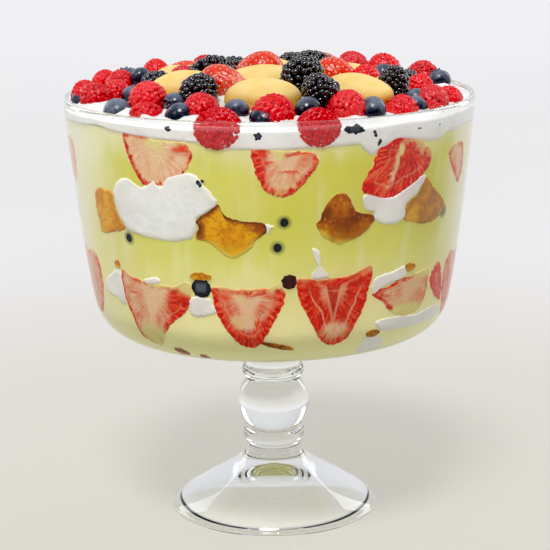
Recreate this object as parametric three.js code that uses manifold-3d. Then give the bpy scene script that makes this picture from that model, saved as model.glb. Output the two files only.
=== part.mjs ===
// A trifle built in its footed glass bowl. Custard and whipped cream lie in layers,
// with halved strawberries and sponge cakes pressed against the glass, and the top is
// heaped with raspberries, blueberries, brambles, strawberries and sponge cakes.
// Millimetres, +Z up, origin at the middle of the foot's underside.
// An azimuth is counted in degrees from the front (-Y), positive towards +X.

import * as THREE from 'three';
import { mergeVertices } from 'three/addons/utils/BufferGeometryUtils.js';
import Module from 'manifold-3d';

const wasm = await Module();
wasm.setup();

// ---------------------------------------------------------------- driving sizes

const SIDES = 28;              // facets round everything that is turned
const GAP = 0.3;               // clearance between touching pieces
const RIM_HEIGHT = 229.6;      // centre of the bowl's rounded lip
const RIM_RADIUS = 108.6;
const LIP_RADIUS = 1.75;
const WALL = 3.3;              // glass thickness at the side
const SHOULDER_HEIGHT = 123;   // where the side turns into the bottom
const SHOULDER_RADIUS = 97.1;
const BOWL_UNDERSIDE = 98.2;   // height of the bowl's outer bottom near the stem
const BOWL_FLOOR = 104.6;      // height of the inner bottom on the axis
const NECK_RADIUS = 14.6;
const BALL_HEIGHT = 60;        // the stem's ball
const BALL_RADIUS = 20;
const FOOT_RADIUS = 56.2;
const FOOT_EDGE = 1.2;         // radius of the foot's rounded rim
const FOOT_BEARING = 50;       // inner radius of the ring that the foot stands on
const FOOT_HOLLOW = 20;        // height of the hollow under the foot

const LOWER_SEAM = 141;        // where the custards meet beside the lower cream
const UPPER_SEAM = 180;        // where the custards meet beside the middle cream
const CUSTARD_TOP = 218.5;     // where the custard ends under the top cream
const LOWER_CREAM = { low: 131, high: 149.5 };
const MIDDLE_CREAM = { low: 174, high: 191 };
const CREAM_SETBACK = 9;       // how far the creams stay behind the glass
const HEAP_EDGE = 228;         // height of the top cream at the glass
const HEAP_RISE = 9;           // how much higher its middle is

const RASPBERRY = 20;          // diameters
const BLUEBERRY = 13.5;
const HALF_DEPTH = 12;         // thickness of a halved strawberry behind the glass
const HALF_BEVEL = 4;
const SPONGE_DEPTH = 17;       // how far a sponge cake reaches in from the glass
const TOP_SPONGE_DEPTH = 22;
const GOLDEN_ANGLE = 137.5;    // spreads berries evenly over the far part of the heap
const SPIRAL_STEPS = 420;
const BERRY_ROOM = 0.5;        // least distance between berries, of their summed diameters

// Construction heights and a radius beyond what is left after the cuts.
const HEADROOM = 300;
const UNDER_FLOOR = 90;
const PAST_WALL = 116;
const PAST_HALF = 7;

// How high the middle of each kind sits over the top cream's surface.
const SIT = { raspberry: 2, blueberry: 2.5, bramble: 5, strawberry: 3, sponge: 1 };

// ---------------------------------------------------------------- helpers

const radians = THREE.MathUtils.degToRad;
const point = (x, y) => new THREE.Vector2(x, y);

// Seeded draws, the same at every run.
let seed = 24;
function draw(low, high) {
  seed = (seed * 16807) % 2147483647;
  return low + (high - low) * seed / 2147483647;
}

// A smooth 0 to 1 bump round the bowl, for an azimuth within `reach` degrees of `middle`.
function bump(azimuth, middle, reach) {
  const turn = Math.abs(((azimuth - middle + 540) % 360) - 180);
  return turn < reach ? 0.5 + 0.5 * Math.cos(Math.PI * (turn / reach) ** 2) : 0;
}

// A gentle unevenness of a poured or spooned surface, about one millimetre each way.
function ripple(azimuth, phase) {
  const a = radians(azimuth);
  return Math.sin(3 * a + phase) + 0.6 * Math.sin(5 * a + 2 * phase);
}

// A three.js geometry as a solid: shared vertices merged, collapsed triangles dropped.
function solid(geometry) {
  const bare = geometry.clone();
  bare.deleteAttribute('normal');
  bare.deleteAttribute('uv');
  const merged = mergeVertices(bare, 1e-4);
  const index = merged.getIndex().array;
  const triangles = [];
  for (let i = 0; i < index.length; i += 3) {
    const [a, b, c] = index.slice(i, i + 3);
    if (a !== b && b !== c && c !== a) triangles.push(a, b, c);
  }
  return new wasm.Manifold(new wasm.Mesh({
    numProp: 3,
    vertProperties: new Float32Array(merged.getAttribute('position').array),
    triVerts: new Uint32Array(triangles),
  }));
}

// The largest body of a cut solid; loose scraps are left out.
function whole(body) {
  const bodies = body.decompose();
  return bodies.reduce((best, one) => (one.volume() > best.volume() ? one : best));
}

function mesh(name, body, material) {
  const cut = whole(body).getMesh();
  const geometry = new THREE.BufferGeometry();
  geometry.setAttribute('position', new THREE.BufferAttribute(cut.vertProperties, 3));
  geometry.setIndex(new THREE.BufferAttribute(cut.triVerts, 1));
  geometry.computeVertexNormals();
  const piece = new THREE.Mesh(geometry, material);
  piece.name = name;
  return piece;
}

// A profile of radius and height, turned round the bowl's axis.
function turned(profile, sides = SIDES) {
  return new THREE.LatheGeometry(profile, sides).rotateX(Math.PI / 2);
}

const curve = (a, b, c, steps) => new THREE.QuadraticBezierCurve(a, b, c).getPoints(steps);
const sweep = (a, b, c, d, steps) => new THREE.CubicBezierCurve(a, b, c, d).getPoints(steps);
function arc(middle, across, up, from, to, steps) {
  return new THREE.EllipseCurve(middle.x, middle.y, across, up, radians(from), radians(to))
    .getPoints(steps);
}

// ---------------------------------------------------------------- materials

const finish = (color, roughness) => new THREE.MeshStandardMaterial({ color, roughness });
const glass = new THREE.MeshStandardMaterial({
  color: '#eef3f2', roughness: 0.04, metalness: 0, transparent: true, opacity: 0.35,
});
const custard = finish('#efe39a', 0.35);
const cream = finish('#f8f6f0', 0.6);
const sponge = finish('#dca850', 0.75);
const cutStrawberry = finish('#e0503f', 0.3);
const wholeStrawberry = finish('#d8301f', 0.25);
const bramble = finish('#1b141c', 0.2);
const blueberry = finish('#2c3350', 0.45);
const toppedCream = finish('#d9546a', 0.45);

// ---------------------------------------------------------------- glass bowl

// The inner side of the glass, from the lip down to the axis, moved in by `inset`.
function innerProfile(inset) {
  const top = RIM_RADIUS - LIP_RADIUS - inset;
  const side = curve(point(top, RIM_HEIGHT), point(103.6 - WALL - inset, 158.6),
    point(SHOULDER_RADIUS - WALL - inset, SHOULDER_HEIGHT + 1), 2);
  const bottom = sweep(side.at(-1), point(91.6 - inset, 112), point(84 - inset, 108.6 + inset),
    point(60, 106.4 + inset), 3);
  return [...side, ...bottom.slice(1), point(0, BOWL_FLOOR + inset)];
}

function glassProfile() {
  const hollow = curve(point(0, FOOT_HOLLOW), point(22, 18), point(FOOT_BEARING, 0), 2);
  const edge = arc(point(FOOT_RADIUS, FOOT_EDGE), FOOT_EDGE, FOOT_EDGE, -90, 75, 2);
  const flare = sweep(point(55.6, 3.6), point(45, 13.5), point(21, 22), point(15.2, 32.4), 4);
  const lowRing = arc(point(NECK_RADIUS, 41.7), 2.2, 4, -80, 75, 2);
  const ball = arc(point(0, BALL_HEIGHT), BALL_RADIUS, 19.1, -47, 42, 4);
  const highRing = arc(point(NECK_RADIUS, 77.7), 2.4, 3.8, -80, 80, 2);
  const neck = curve(point(NECK_RADIUS, 91), point(16, 97.6), point(30, BOWL_UNDERSIDE), 2);
  const underside = curve(neck.at(-1), point(58, 100), point(76.7, 102.7), 1);
  const shoulder = sweep(underside.at(-1), point(87, 104.4), point(94.2, 109),
    point(SHOULDER_RADIUS, SHOULDER_HEIGHT), 3);
  const side = curve(shoulder.at(-1), point(103.6, 158.6),
    point(RIM_RADIUS + LIP_RADIUS, RIM_HEIGHT - 1), 2);
  const lip = arc(point(RIM_RADIUS, RIM_HEIGHT), LIP_RADIUS, LIP_RADIUS * 1.2, 0, 180, 3);
  return [
    ...hollow, ...edge, ...flare, ...lowRing, ...ball, ...highRing, ...neck,
    ...underside.slice(1), ...shoulder.slice(1), ...side.slice(1), ...lip,
    ...innerProfile(0).slice(1),
  ];
}

const bowl = solid(turned(glassProfile()));

// Everything in the bowl stays inside this: the glass's inner side less the gap,
// carried straight up past the rim for what is heaped above it.
const insideProfile = innerProfile(GAP);
const inside = solid(turned([
  ...insideProfile.toReversed(), point(insideProfile[0].x, HEADROOM), point(0, HEADROOM),
]));

// Radius of the glass's inner side at a height.
function wallRadius(height) {
  for (let i = 1; i < insideProfile.length; i += 1) {
    const [upper, lower] = [insideProfile[i - 1], insideProfile[i]];
    if (height <= upper.y && height >= lower.y) {
      return lower.x + (upper.x - lower.x) * (height - lower.y) / (upper.y - lower.y);
    }
  }
  return insideProfile[0].x;
}

// ---------------------------------------------------------------- placing pieces

// Turns a piece made round its own origin, with +Z facing the viewer and +Y up,
// to face out of the bowl at an azimuth and a height.
function facing(geometry, { azimuth, height, radius, lean = 0 }) {
  const a = radians(azimuth);
  const outwards = new THREE.Vector3(Math.sin(a), -Math.cos(a), 0);
  const along = new THREE.Vector3(Math.cos(a), Math.sin(a), 0);
  const place = new THREE.Matrix4().makeBasis(along, new THREE.Vector3(0, 0, 1), outwards);
  place.setPosition(outwards.clone().multiplyScalar(radius).setZ(height));
  return geometry.rotateZ(radians(lean)).applyMatrix4(place);
}

// Sets a piece made round its own origin, with +Z up, on the heap.
function resting(geometry, { azimuth, radius, height, turn = 0, tip = 0 }) {
  const a = radians(azimuth);
  return geometry.rotateY(radians(tip)).rotateZ(radians(turn))
    .translate(radius * Math.sin(a), -radius * Math.cos(a), height);
}

// Height of the top cream's surface.
function heapHeight(radius) {
  return HEAP_EDGE + HEAP_RISE * Math.cos(Math.PI / 2 * Math.min(radius / RIM_RADIUS, 1));
}

// ---------------------------------------------------------------- pieces of fruit and cake

// A strawberry cut in half, cut side out: broad shoulders, a dimple at the top, a blunt tip.
// Swollen, to make room for it, its back stays square.
function strawberryHalf({ width, height, swell = 0 }) {
  const w = width / 2 + swell;
  const top = height / 2 + swell;
  const tip = -top;
  const side = sweep(point(0, tip), point(w * 0.6, tip), point(w, top * 0.1),
    point(w, top * 0.45), 2);
  const shoulder = curve(side.at(-1), point(w * 0.85, top * 1.1), point(0, top * 0.86), 2);
  const right = [...side, ...shoulder.slice(1)];
  const left = right.slice(1, -1).map(({ x, y }) => point(-x, y)).toReversed();
  const outline = new THREE.Shape([...right, ...left]);
  const bevel = Math.min(HALF_BEVEL, width * 0.13);
  if (swell > 0) {
    const depth = HALF_DEPTH + PAST_HALF;
    return new THREE.ExtrudeGeometry(outline, { depth, bevelEnabled: false })
      .translate(0, 0, -HALF_DEPTH - swell);
  }
  return new THREE.ExtrudeGeometry(outline, {
    depth: HALF_DEPTH - bevel + PAST_HALF,
    bevelThickness: bevel,
    bevelSize: bevel,
    bevelOffset: -bevel,
    bevelSegments: 1,
  }).translate(0, 0, bevel - HALF_DEPTH);
}

// A sponge cake: a domed oval.
function spongeCake({ width, height, depth, sides, swell = 0 }) {
  const dome = [point(0, -0.9), point(1, 0), point(0.66, 0.78), point(0, 1)];
  return turned(dome, sides)
    .scale(width / 2 + swell, height / 2 + swell, depth / 2 + swell);
}

// A whole strawberry lying down, its tip along +X.
function strawberry({ length, width, swell = 0 }) {
  const l = length / 2 + swell;
  const w = width / 2 + swell;
  const profile = [
    point(0, -l * 0.9), point(w * 0.62, -l), point(w, -l * 0.5), point(w * 0.9, 0.1 * l),
    point(w * 0.5, l * 0.75), point(0, l),
  ];
  return turned(profile, 8).rotateY(Math.PI / 2);
}

// A bramble: a rounded cluster, its surface lumpy with drupelets.
function brambleBerry({ length, width, swell = 0 }) {
  const berry = new THREE.SphereGeometry(1, 8, 5);
  const spot = berry.getAttribute('position');
  const direction = new THREE.Vector3();
  for (let i = 0; i < spot.count; i += 1) {
    direction.fromBufferAttribute(spot, i);
    const round = Math.atan2(direction.z, direction.x);
    const band = Math.acos(THREE.MathUtils.clamp(direction.y, -1, 1));
    const across = Math.sin(band);
    const row = Math.round(band * 5 / Math.PI);
    const lump = 1 + 0.07 * across * Math.cos(4 * round + row * Math.PI);
    spot.setXYZ(i, direction.x * lump, direction.y, direction.z * lump);
  }
  return berry.rotateZ(-Math.PI / 2)
    .scale(length / 2 + swell, width / 2 + swell, width / 2 + swell);
}

// ---------------------------------------------------------------- layout of the separate pieces

// Halved strawberries low on the glass: azimuth, height of the middle, width, height, lean.
const LOW_HALVES = [
  [-73, 137, 32, 38, 0], [-38, 130, 45, 43, 2], [-7, 132, 39, 39, 0], [18, 136, 40, 42, -4],
  [41, 136, 33, 21, 12], [57.5, 139, 11, 21, 8], [75, 133, 32, 38, 0],
];
// The same high on the glass, their tops in the whipped cream.
const HIGH_HALVES = [
  [-79, 200, 26, 30, 0], [-32, 210, 40, 29, -6], [3.5, 206.5, 33, 24, 0],
  [36, 205, 43, 38, -30], [60, 202, 19, 24, -10],
];
// Sponge cakes against the glass between the custards: azimuth, height, width, height, lean.
const SIDE_SPONGES = [
  [-56, 179, 32, 24, 20], [-12, 176, 38, 27, -4], [20.5, 181.5, 32, 26, 40],
  [47.5, 185.5, 31, 22, 52],
];
// Blueberries between the low strawberries: azimuth, height, diameter.
const SIDE_BLUEBERRIES = [[-21, 146, 11.5], [5, 150, 8]];
// The far side carries on in the same way, a little uneven.
function farSide(count, first, last, height, width, tall) {
  return Array.from({ length: count }, (_, i) => [
    first + (last - first) * i / (count - 1) + draw(-3, 3), height + draw(-4, 4),
    width + draw(-5, 5), tall + draw(-4, 4), draw(-15, 15),
  ]);
}
LOW_HALVES.push(...farSide(4, 114, 244, 137, 40, 38));
HIGH_HALVES.push(...farSide(4, 104, 240, 206, 36, 30));
SIDE_SPONGES.push(...farSide(4, 92, 252, 180, 33, 25));

// Sponge cakes on the heap: azimuth, distance from the axis, lift, length, width, turn.
const TOP_SPONGES = [
  [-62, 50, 0, 38, 28, 15], [-10, 14, -1, 46, 34, 10], [-3, 60, 1, 40, 34, -12],
  [48, 60, 0, 52, 32, -58], [82, 54, 0, 38, 26, -50], [128, 52, 0, 44, 32, 40],
  [186, 58, -2, 46, 32, 5], [240, 54, -3, 42, 32, -35],
];
// Whole strawberries: azimuth, distance, lift, length, width, turn, tip.
const STRAWBERRIES = [
  [-30, 43, 2, 31, 20, -60, 12], [-165, 22, 0, 30, 22, 150, 10], [82, 36, 1, 25, 20, -20, 10],
  [152, 66, -3, 30, 24, 60, 10], [222, 74, -5, 30, 23, 200, 5],
];
// Brambles, in the same order.
const BRAMBLES = [
  [-84, 60, 0, 20, 17, 10, 0], [-86, 30, 3, 27, 20, 20, -10], [-32, 68, 1, 23, 19, 60, -25],
  [27, 38, 4, 27, 22, 70, -20], [118, 28, 3, 23, 18, 0, 10], [19, 74, 3, 22, 18, -50, 25],
  [61, 73, 1, 21, 17, 20, -70], [208, 40, 0, 24, 18, 40, 0], [170, 88, -2, 22, 18, 0, 10],
  [110, 80, 0, 22, 17, 80, 10],
];

// Raspberries of the heap: azimuth, distance from the axis, lift, diameter.
const RASPBERRIES = [
  [-80, 95, 0, 17], [-66, 94, 1, 19], [-71, 82, 1, 16], [-107, 90, 2, 17], [-94, 79, 2, 18],
  [-108, 66, 3, 17], [-48, 83, 2, 20], [-38, 96, -5, 20], [-88, 46, 2, 15], [-21, 91, 0, 20],
  [-14, 96, -4, 20], [1, 92, 0, 22], [80, 52, 2, 16], [76, 81, 1, 17], [23, 93, 0, 20],
  [13, 96, -5, 21], [40, 95, -3, 18], [32, 98, -7, 17], [58, 94, 0, 18], [52, 99, -6, 14],
  [68, 98, -1, 17],
];
// Blueberries of the heap, in the same order.
const BLUEBERRIES = [
  [-76, 100, -2, 12], [-51, 97, -3, 14], [-66, 78, 0, 13], [-100, 72, 5, 13], [-37, 80, 0, 13],
  [-27, 98, -4, 14], [-11, 86, 0, 13], [-2, 100, -5, 14], [13, 86, 0, 13.5], [33, 90, 0, 14],
  [63, 82, 0, 12], [50, 93, -1, 13], [66, 102, -5, 11], [23, 100, -10, 11],
];

// ---------------------------------------------------------------- making the separate pieces

const two = (number) => String(number + 1).padStart(2, '0');
const pieces = [];

// Each piece gives way to those made before it, by the gap.
function addPiece(name, material, make) {
  let body = solid(make(0)).intersect(inside);
  for (const earlier of pieces) body = body.subtract(earlier.swollen);
  pieces.push({ name, material, body, swollen: solid(make(GAP)) });
}

LOW_HALVES.forEach(([azimuth, height, width, tall, lean], i) => {
  addPiece(`low_strawberry_${two(i)}`, cutStrawberry, (swell) => facing(
    strawberryHalf({ width, height: tall, swell }),
    { azimuth, height, radius: wallRadius(height), lean },
  ));
});
HIGH_HALVES.forEach(([azimuth, height, width, tall, lean], i) => {
  addPiece(`high_strawberry_${two(i)}`, cutStrawberry, (swell) => facing(
    strawberryHalf({ width, height: tall, swell }),
    { azimuth, height, radius: wallRadius(height), lean },
  ));
});
SIDE_SPONGES.forEach(([azimuth, height, width, tall, lean], i) => {
  addPiece(`side_sponge_${two(i)}`, sponge, (swell) => facing(
    spongeCake({ width, height: tall, depth: 2 * SPONGE_DEPTH, sides: 10, swell }),
    { azimuth, height, radius: wallRadius(height) - 1, lean },
  ));
});
SIDE_BLUEBERRIES.forEach(([azimuth, height, across], i) => {
  addPiece(`side_blueberry_${two(i)}`, blueberry, (swell) => facing(
    new THREE.SphereGeometry(across / 2 + swell, 6, 4),
    { azimuth, height, radius: wallRadius(height) - across * 0.4 },
  ));
});
BRAMBLES.forEach(([azimuth, radius, lift, length, width, turn, tip], i) => {
  const height = heapHeight(radius) + SIT.bramble + lift;
  addPiece(`bramble_${two(i)}`, bramble, (swell) => resting(
    brambleBerry({ length, width, swell }),
    { azimuth, radius, height, turn, tip },
  ));
});
STRAWBERRIES.forEach(([azimuth, radius, lift, length, width, turn, tip], i) => {
  const height = heapHeight(radius) + SIT.strawberry + lift;
  addPiece(`strawberry_${two(i)}`, wholeStrawberry, (swell) => resting(
    strawberry({ length, width, swell }),
    { azimuth, radius, height, turn, tip },
  ));
});
TOP_SPONGES.forEach(([azimuth, radius, lift, length, width, turn], i) => {
  const height = heapHeight(radius) + SIT.sponge + lift;
  addPiece(`top_sponge_${two(i)}`, sponge, (swell) => resting(
    spongeCake({ width: length, height: width, depth: TOP_SPONGE_DEPTH, sides: 8, swell }),
    { azimuth, radius, height, turn },
  ));
});

// ---------------------------------------------------------------- layers

// A layer between two surfaces, out to an edge; all three are functions of azimuth.
// The surfaces may also rise towards the axis, where they take the front's azimuth.
function layer({ low, high, edge, rings = [0, 1] }) {
  const profile = [
    ...rings.map((r) => point(r, 0)), ...rings.toReversed().map((r) => point(r, 1)),
  ];
  const disc = turned(profile);
  const spot = disc.getAttribute('position');
  for (let i = 0; i < spot.count; i += 1) {
    const [x, y, upper] = [spot.getX(i), spot.getY(i), spot.getZ(i)];
    const reach = Math.hypot(x, y);
    const azimuth = reach > 0 ? THREE.MathUtils.radToDeg(Math.atan2(x, -y)) : 0;
    const out = edge(azimuth);
    const radius = reach * out;
    const z = upper > 0.5 ? high(azimuth, radius) : low(azimuth, radius);
    spot.setXYZ(i, x * out, y * out, z);
  }
  return solid(disc);
}

const toWall = () => PAST_WALL;

// How far a cream layer spreads: behind the glass, and past it where it shows.
function spread(height, lobes) {
  const behind = wallRadius(height) - CREAM_SETBACK;
  return (azimuth) => {
    const reach = Math.max(...lobes.map(([middle, half]) => bump(azimuth, middle, half)));
    return behind + (PAST_WALL - behind) * reach;
  };
}

// Where the creams come out to the glass: azimuth of the middle and half the span.
const LOWER_LOBES = [[-56, 13], [-22, 9], [29, 9], [45, 10], [92, 16], [126, 14], [162, 12],
  [197, 16], [232, 13], [268, 15]];
const MIDDLE_LOBES = [[-74, 14], [-32, 26], [31, 15], [68, 10], [105, 20], [143, 14], [182, 22],
  [222, 16], [255, 14]];

function lowerCream(swell) {
  return layer({
    low: (a) => LOWER_CREAM.low + ripple(a, 1) - swell,
    high: (a) => LOWER_CREAM.high + ripple(a, 2) + 2 * Math.sin(radians(a)) + swell,
    edge: (a) => spread(LOWER_SEAM, LOWER_LOBES)(a) + swell,
  });
}

// The middle cream swells up where it is pressed against the front left of the glass.
function middleCream(swell) {
  const sag = (a) => 4 * bump(a, -34, 16) - 5 * bump(a, 33, 14);
  const rise = (a) => 14 * bump(a, -32, 24) + 6 * bump(a, 105, 22) + 8 * bump(a, 182, 24);
  return layer({
    low: (a) => MIDDLE_CREAM.low + ripple(a, 3) - sag(a) - swell,
    high: (a) => MIDDLE_CREAM.high + ripple(a, 4) + rise(a) + swell,
    edge: (a) => spread(UPPER_SEAM, MIDDLE_LOBES)(a) + swell,
  });
}

const custardTopHeight = (a) => CUSTARD_TOP + ripple(a, 5)
  + 3 * bump(a, -40, 30) - 4 * bump(a, 30, 8);

// The top cream with the heap's small berries pressed into it.
function toppedCreamBody() {
  const mound = layer({
    low: (a) => custardTopHeight(a) + GAP,
    high: (a, r) => heapHeight(r) + 0.8 * ripple(a, 6) * r / RIM_RADIUS,
    edge: toWall,
    rings: [0, 0.6, 1],
  });
  const berries = [];
  const addBerry = (kind, azimuth, radius, lift, across) => {
    berries.push({ kind, azimuth, radius, lift, across });
  };
  RASPBERRIES.forEach((row) => addBerry('raspberry', ...row));
  BLUEBERRIES.forEach((row) => addBerry('blueberry', ...row));

  // The far part of the heap: berries along a spiral, wherever one has room.
  const large = [...BRAMBLES, ...STRAWBERRIES, ...TOP_SPONGES].map(
    ([azimuth, radius, , length, width]) => ({ azimuth, radius, across: (length + width) / 2 }),
  );
  const distance = (one, other) => Math.sqrt(one.radius ** 2 + other.radius ** 2
    - 2 * one.radius * other.radius * Math.cos(radians(one.azimuth - other.azimuth)));
  for (let i = SPIRAL_STEPS; i > 0; i -= 1) {
    const kind = draw(0, 1) < 0.6 ? 'raspberry' : 'blueberry';
    const across = (kind === 'raspberry' ? RASPBERRY : BLUEBERRY) * draw(0.85, 1.05);
    const spot = { azimuth: (i * GOLDEN_ANGLE) % 360, radius: 97 * Math.sqrt(i / SPIRAL_STEPS) };
    const hidden = spot.azimuth > 78 && spot.azimuth < 264;
    const free = [...large, ...berries].every(
      (one) => distance(one, spot) > (one.across + across) * BERRY_ROOM,
    );
    if (hidden && free) addBerry(kind, spot.azimuth, spot.radius, draw(-1, 2), across);
  }

  const dome = [point(0, -0.45), point(0.5, -0.05), point(0.34, 0.38), point(0, 0.5)];
  const shapes = { raspberry: { sides: 6, tall: 1.05 }, blueberry: { sides: 5, tall: 0.86 } };
  const below = layer({
    low: () => UNDER_FLOOR, high: (a) => custardTopHeight(a) + GAP, edge: toWall,
  });
  const heap = berries.reduce((rest, { kind, azimuth, radius, lift, across }) => {
    const { sides, tall } = shapes[kind];
    const berry = resting(turned(dome, sides).scale(across, across, across * tall), {
      azimuth,
      radius: Math.min(radius, RIM_RADIUS - LIP_RADIUS - across / 2),
      height: heapHeight(radius) + SIT[kind] + lift,
      turn: draw(0, 360),
      tip: draw(0, 30),
    });
    return rest.add(solid(berry));
  }, mound);
  return heap.subtract(below);
}

const layers = [
  ['custard_bottom', custard, layer({
    low: () => UNDER_FLOOR, high: () => LOWER_SEAM - GAP / 2, edge: toWall,
  }).subtract(lowerCream(GAP))],
  ['cream_lower', cream, lowerCream(0)],
  ['custard_middle', custard, layer({
    low: () => LOWER_SEAM + GAP / 2, high: () => UPPER_SEAM - GAP / 2, edge: toWall,
  }).subtract(lowerCream(GAP)).subtract(middleCream(GAP))],
  ['cream_middle', cream, middleCream(0)],
  ['custard_top', custard, layer({
    low: () => UPPER_SEAM + GAP / 2, high: custardTopHeight, edge: toWall,
  }).subtract(middleCream(GAP))],
  ['cream_top_berries', toppedCream, toppedCreamBody()],
];

// ---------------------------------------------------------------- the trifle

const trifle = new THREE.Group();
trifle.add(mesh('glass_bowl', bowl, glass));
for (const [name, material, body] of layers) {
  const fitted = pieces.reduce((rest, piece) => rest.subtract(piece.swollen), body);
  trifle.add(mesh(name, fitted.intersect(inside), material));
}
for (const { name, material, body } of pieces) trifle.add(mesh(name, body, material));

export default trifle;
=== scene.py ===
import math
import random

import bmesh
import bpy
from mathutils import Matrix, Vector, noise


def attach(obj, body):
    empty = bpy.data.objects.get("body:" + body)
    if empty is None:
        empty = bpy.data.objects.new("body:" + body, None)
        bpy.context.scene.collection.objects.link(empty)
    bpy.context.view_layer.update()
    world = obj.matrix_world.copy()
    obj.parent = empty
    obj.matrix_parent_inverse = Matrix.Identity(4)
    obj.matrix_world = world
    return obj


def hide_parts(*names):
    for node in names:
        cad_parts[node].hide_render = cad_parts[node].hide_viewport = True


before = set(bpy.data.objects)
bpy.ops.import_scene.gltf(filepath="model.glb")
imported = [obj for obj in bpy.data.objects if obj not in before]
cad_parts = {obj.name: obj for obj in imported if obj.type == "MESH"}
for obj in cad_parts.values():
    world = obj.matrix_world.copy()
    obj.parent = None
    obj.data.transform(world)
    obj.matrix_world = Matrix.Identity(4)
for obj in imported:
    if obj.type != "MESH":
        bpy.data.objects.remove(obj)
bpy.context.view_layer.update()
scene = bpy.context.scene

# ---------- table, light and camera
# The dish stands on a plain pale table in soft daylight. The strongest light comes from the
# upper left, two tall windows behind the dish draw the pale edges of the glass, and two weak
# lights lift its right side and its low front.

MM = 0.001
TABLE_REACH = 9.0
EYE = (0, -1.052, 0.375)
LOOK_DOWN = 13.08
CAMERA_ROLL = -0.76
LENS = 128.95
SENSOR = 36
SIDE_SHIFT = 3.2 / 550
BLACK_LEVEL = 0.02
ROOM_COLOUR = (0.95, 0.965, 1.0, 1)
ROOM_LIGHT = 0.54
MORE_TO_THE_RIGHT = 0.06
MORE_TO_THE_BACK = 0.26
SUN_STRENGTH = 1.9
SUN_ACROSS = 16
SUN_WAY = (0.1, 0.5, -1.0)


def paint(colour):
    """A colour given by its everyday 0-255 values, as the shaders want it."""
    tones = [tone / 255 for tone in colour]
    return (*(t / 12.92 if t < 0.04045 else ((t + 0.055) / 1.055) ** 2.4 for t in tones), 1)


class Shade:
    """A number or a colour that changes over a surface; the numbers are written in sums."""

    def __init__(self, finish, socket):
        self.finish = finish
        self.socket = socket

    def worked(self, operation, *values):
        return self.finish.node("ShaderNodeMath", {"operation": operation}, dict(enumerate(values)))

    def __add__(self, other):
        return self.worked("ADD", self, other)

    def __sub__(self, other):
        return self.worked("SUBTRACT", self, other)

    def __rsub__(self, other):
        return self.worked("SUBTRACT", other, self)

    def __mul__(self, other):
        return self.worked("MULTIPLY", self, other)

    def __truediv__(self, other):
        return self.worked("DIVIDE", self, other)

    def __abs__(self):
        return self.worked("ABSOLUTE", self)

    __radd__ = __add__
    __rmul__ = __mul__

    def rising(self, low, high):
        """0 where this is below `low`, 1 above `high`, smooth between."""
        return self.finish.node("ShaderNodeMapRange", {"interpolation_type": "SMOOTHSTEP"},
                                {"Value": self, "From Min": low, "From Max": high})

    def between(self, under, over):
        """The colour `under` where this is 0 and `over` where it is 1."""
        under, over = (c if isinstance(c, Shade) else paint(c) for c in (under, over))
        return self.finish.node("ShaderNodeMix", {"data_type": "RGBA", "clamp_factor": True},
                                {0: self, 6: under, 7: over}, 2)

    def washed(self, share, colour):
        """This colour with another laid over it, as strongly as `share`."""
        return share.between(self, colour)

    def relief(self, depth):
        """A surface raised by this times `depth` millimetres."""
        return self.finish.node("ShaderNodeBump", None, {"Height": self, "Distance": depth * MM})


class Finish:
    """A material: one surface with its steady values, and the patterns that feed it."""

    def __init__(self, name, **steady):
        self.material = bpy.data.materials.new(name)
        self.material.use_nodes = True
        self.tree = self.material.node_tree
        self.surface = self.tree.nodes["Principled BSDF"]
        self.place = self.node("ShaderNodeTexCoord", output="Object")
        for socket, value in steady.items():
            self.surface.inputs[socket.replace("_", " ")].default_value = value

    def node(self, kind, settings=None, sockets=None, output=0):
        made = self.tree.nodes.new(kind)
        for name, value in (settings or {}).items():
            setattr(made, name, value)
        for name, value in (sockets or {}).items():
            self.feed(made.inputs[name], value)
        return Shade(self, made.outputs[output])

    def feed(self, socket, value):
        if isinstance(value, Shade):
            self.tree.links.new(value.socket, socket)
        else:
            socket.default_value = value

    def show(self, **patterns):
        for socket, value in patterns.items():
            self.feed(self.surface.inputs[socket.replace("_", " ")], value)
        return self

    def speckle(self, size, detail=2.0, stretch=(1, 1, 1), place=None):
        """Cloudy noise from 0 to 1, its clouds about `size` millimetres across."""
        spread = self.node("ShaderNodeVectorMath", {"operation": "MULTIPLY"},
                           {0: place or self.place, 1: tuple(1000 / size / s for s in stretch)})
        return self.node("ShaderNodeTexNoise", None,
                         {"Vector": spread, "Scale": 1.0, "Detail": detail}, "Fac")

    def coordinate(self, axis):
        """How far along an axis each place of the piece is, in metres."""
        return self.node("ShaderNodeSeparateXYZ", None, {0: self.place}, axis)


# The table glows a little of itself, so that shadows on it stay faint.
table_finish = Finish("table_top", Roughness=0.7, Specular_IOR_Level=0.2, Emission_Strength=1.0)
from_dish = table_finish.node("ShaderNodeVectorMath", {"operation": "LENGTH"},
                             {0: table_finish.place}, "Value")
table_glow = from_dish.rising(0.22, 0.7).between((173, 171, 163), (189, 189, 193))
table_glow = table_glow.washed(from_dish.rising(0.9, 2.4), (200, 201, 206))
table_finish.show(
    Base_Color=table_finish.speckle(300).between((134, 132, 128), (140, 138, 134)),
    Emission_Color=table_glow,
)
table_body = bmesh.new()
bmesh.ops.create_circle(table_body, cap_ends=True, radius=TABLE_REACH, segments=96)
table_mesh = bpy.data.meshes.new("table_top")
table_body.to_mesh(table_mesh)
table_body.free()
table_mesh.materials.append(table_finish.material)
table_top = bpy.data.objects.new("table_top", table_mesh)
scene.collection.objects.link(table_top)

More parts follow.
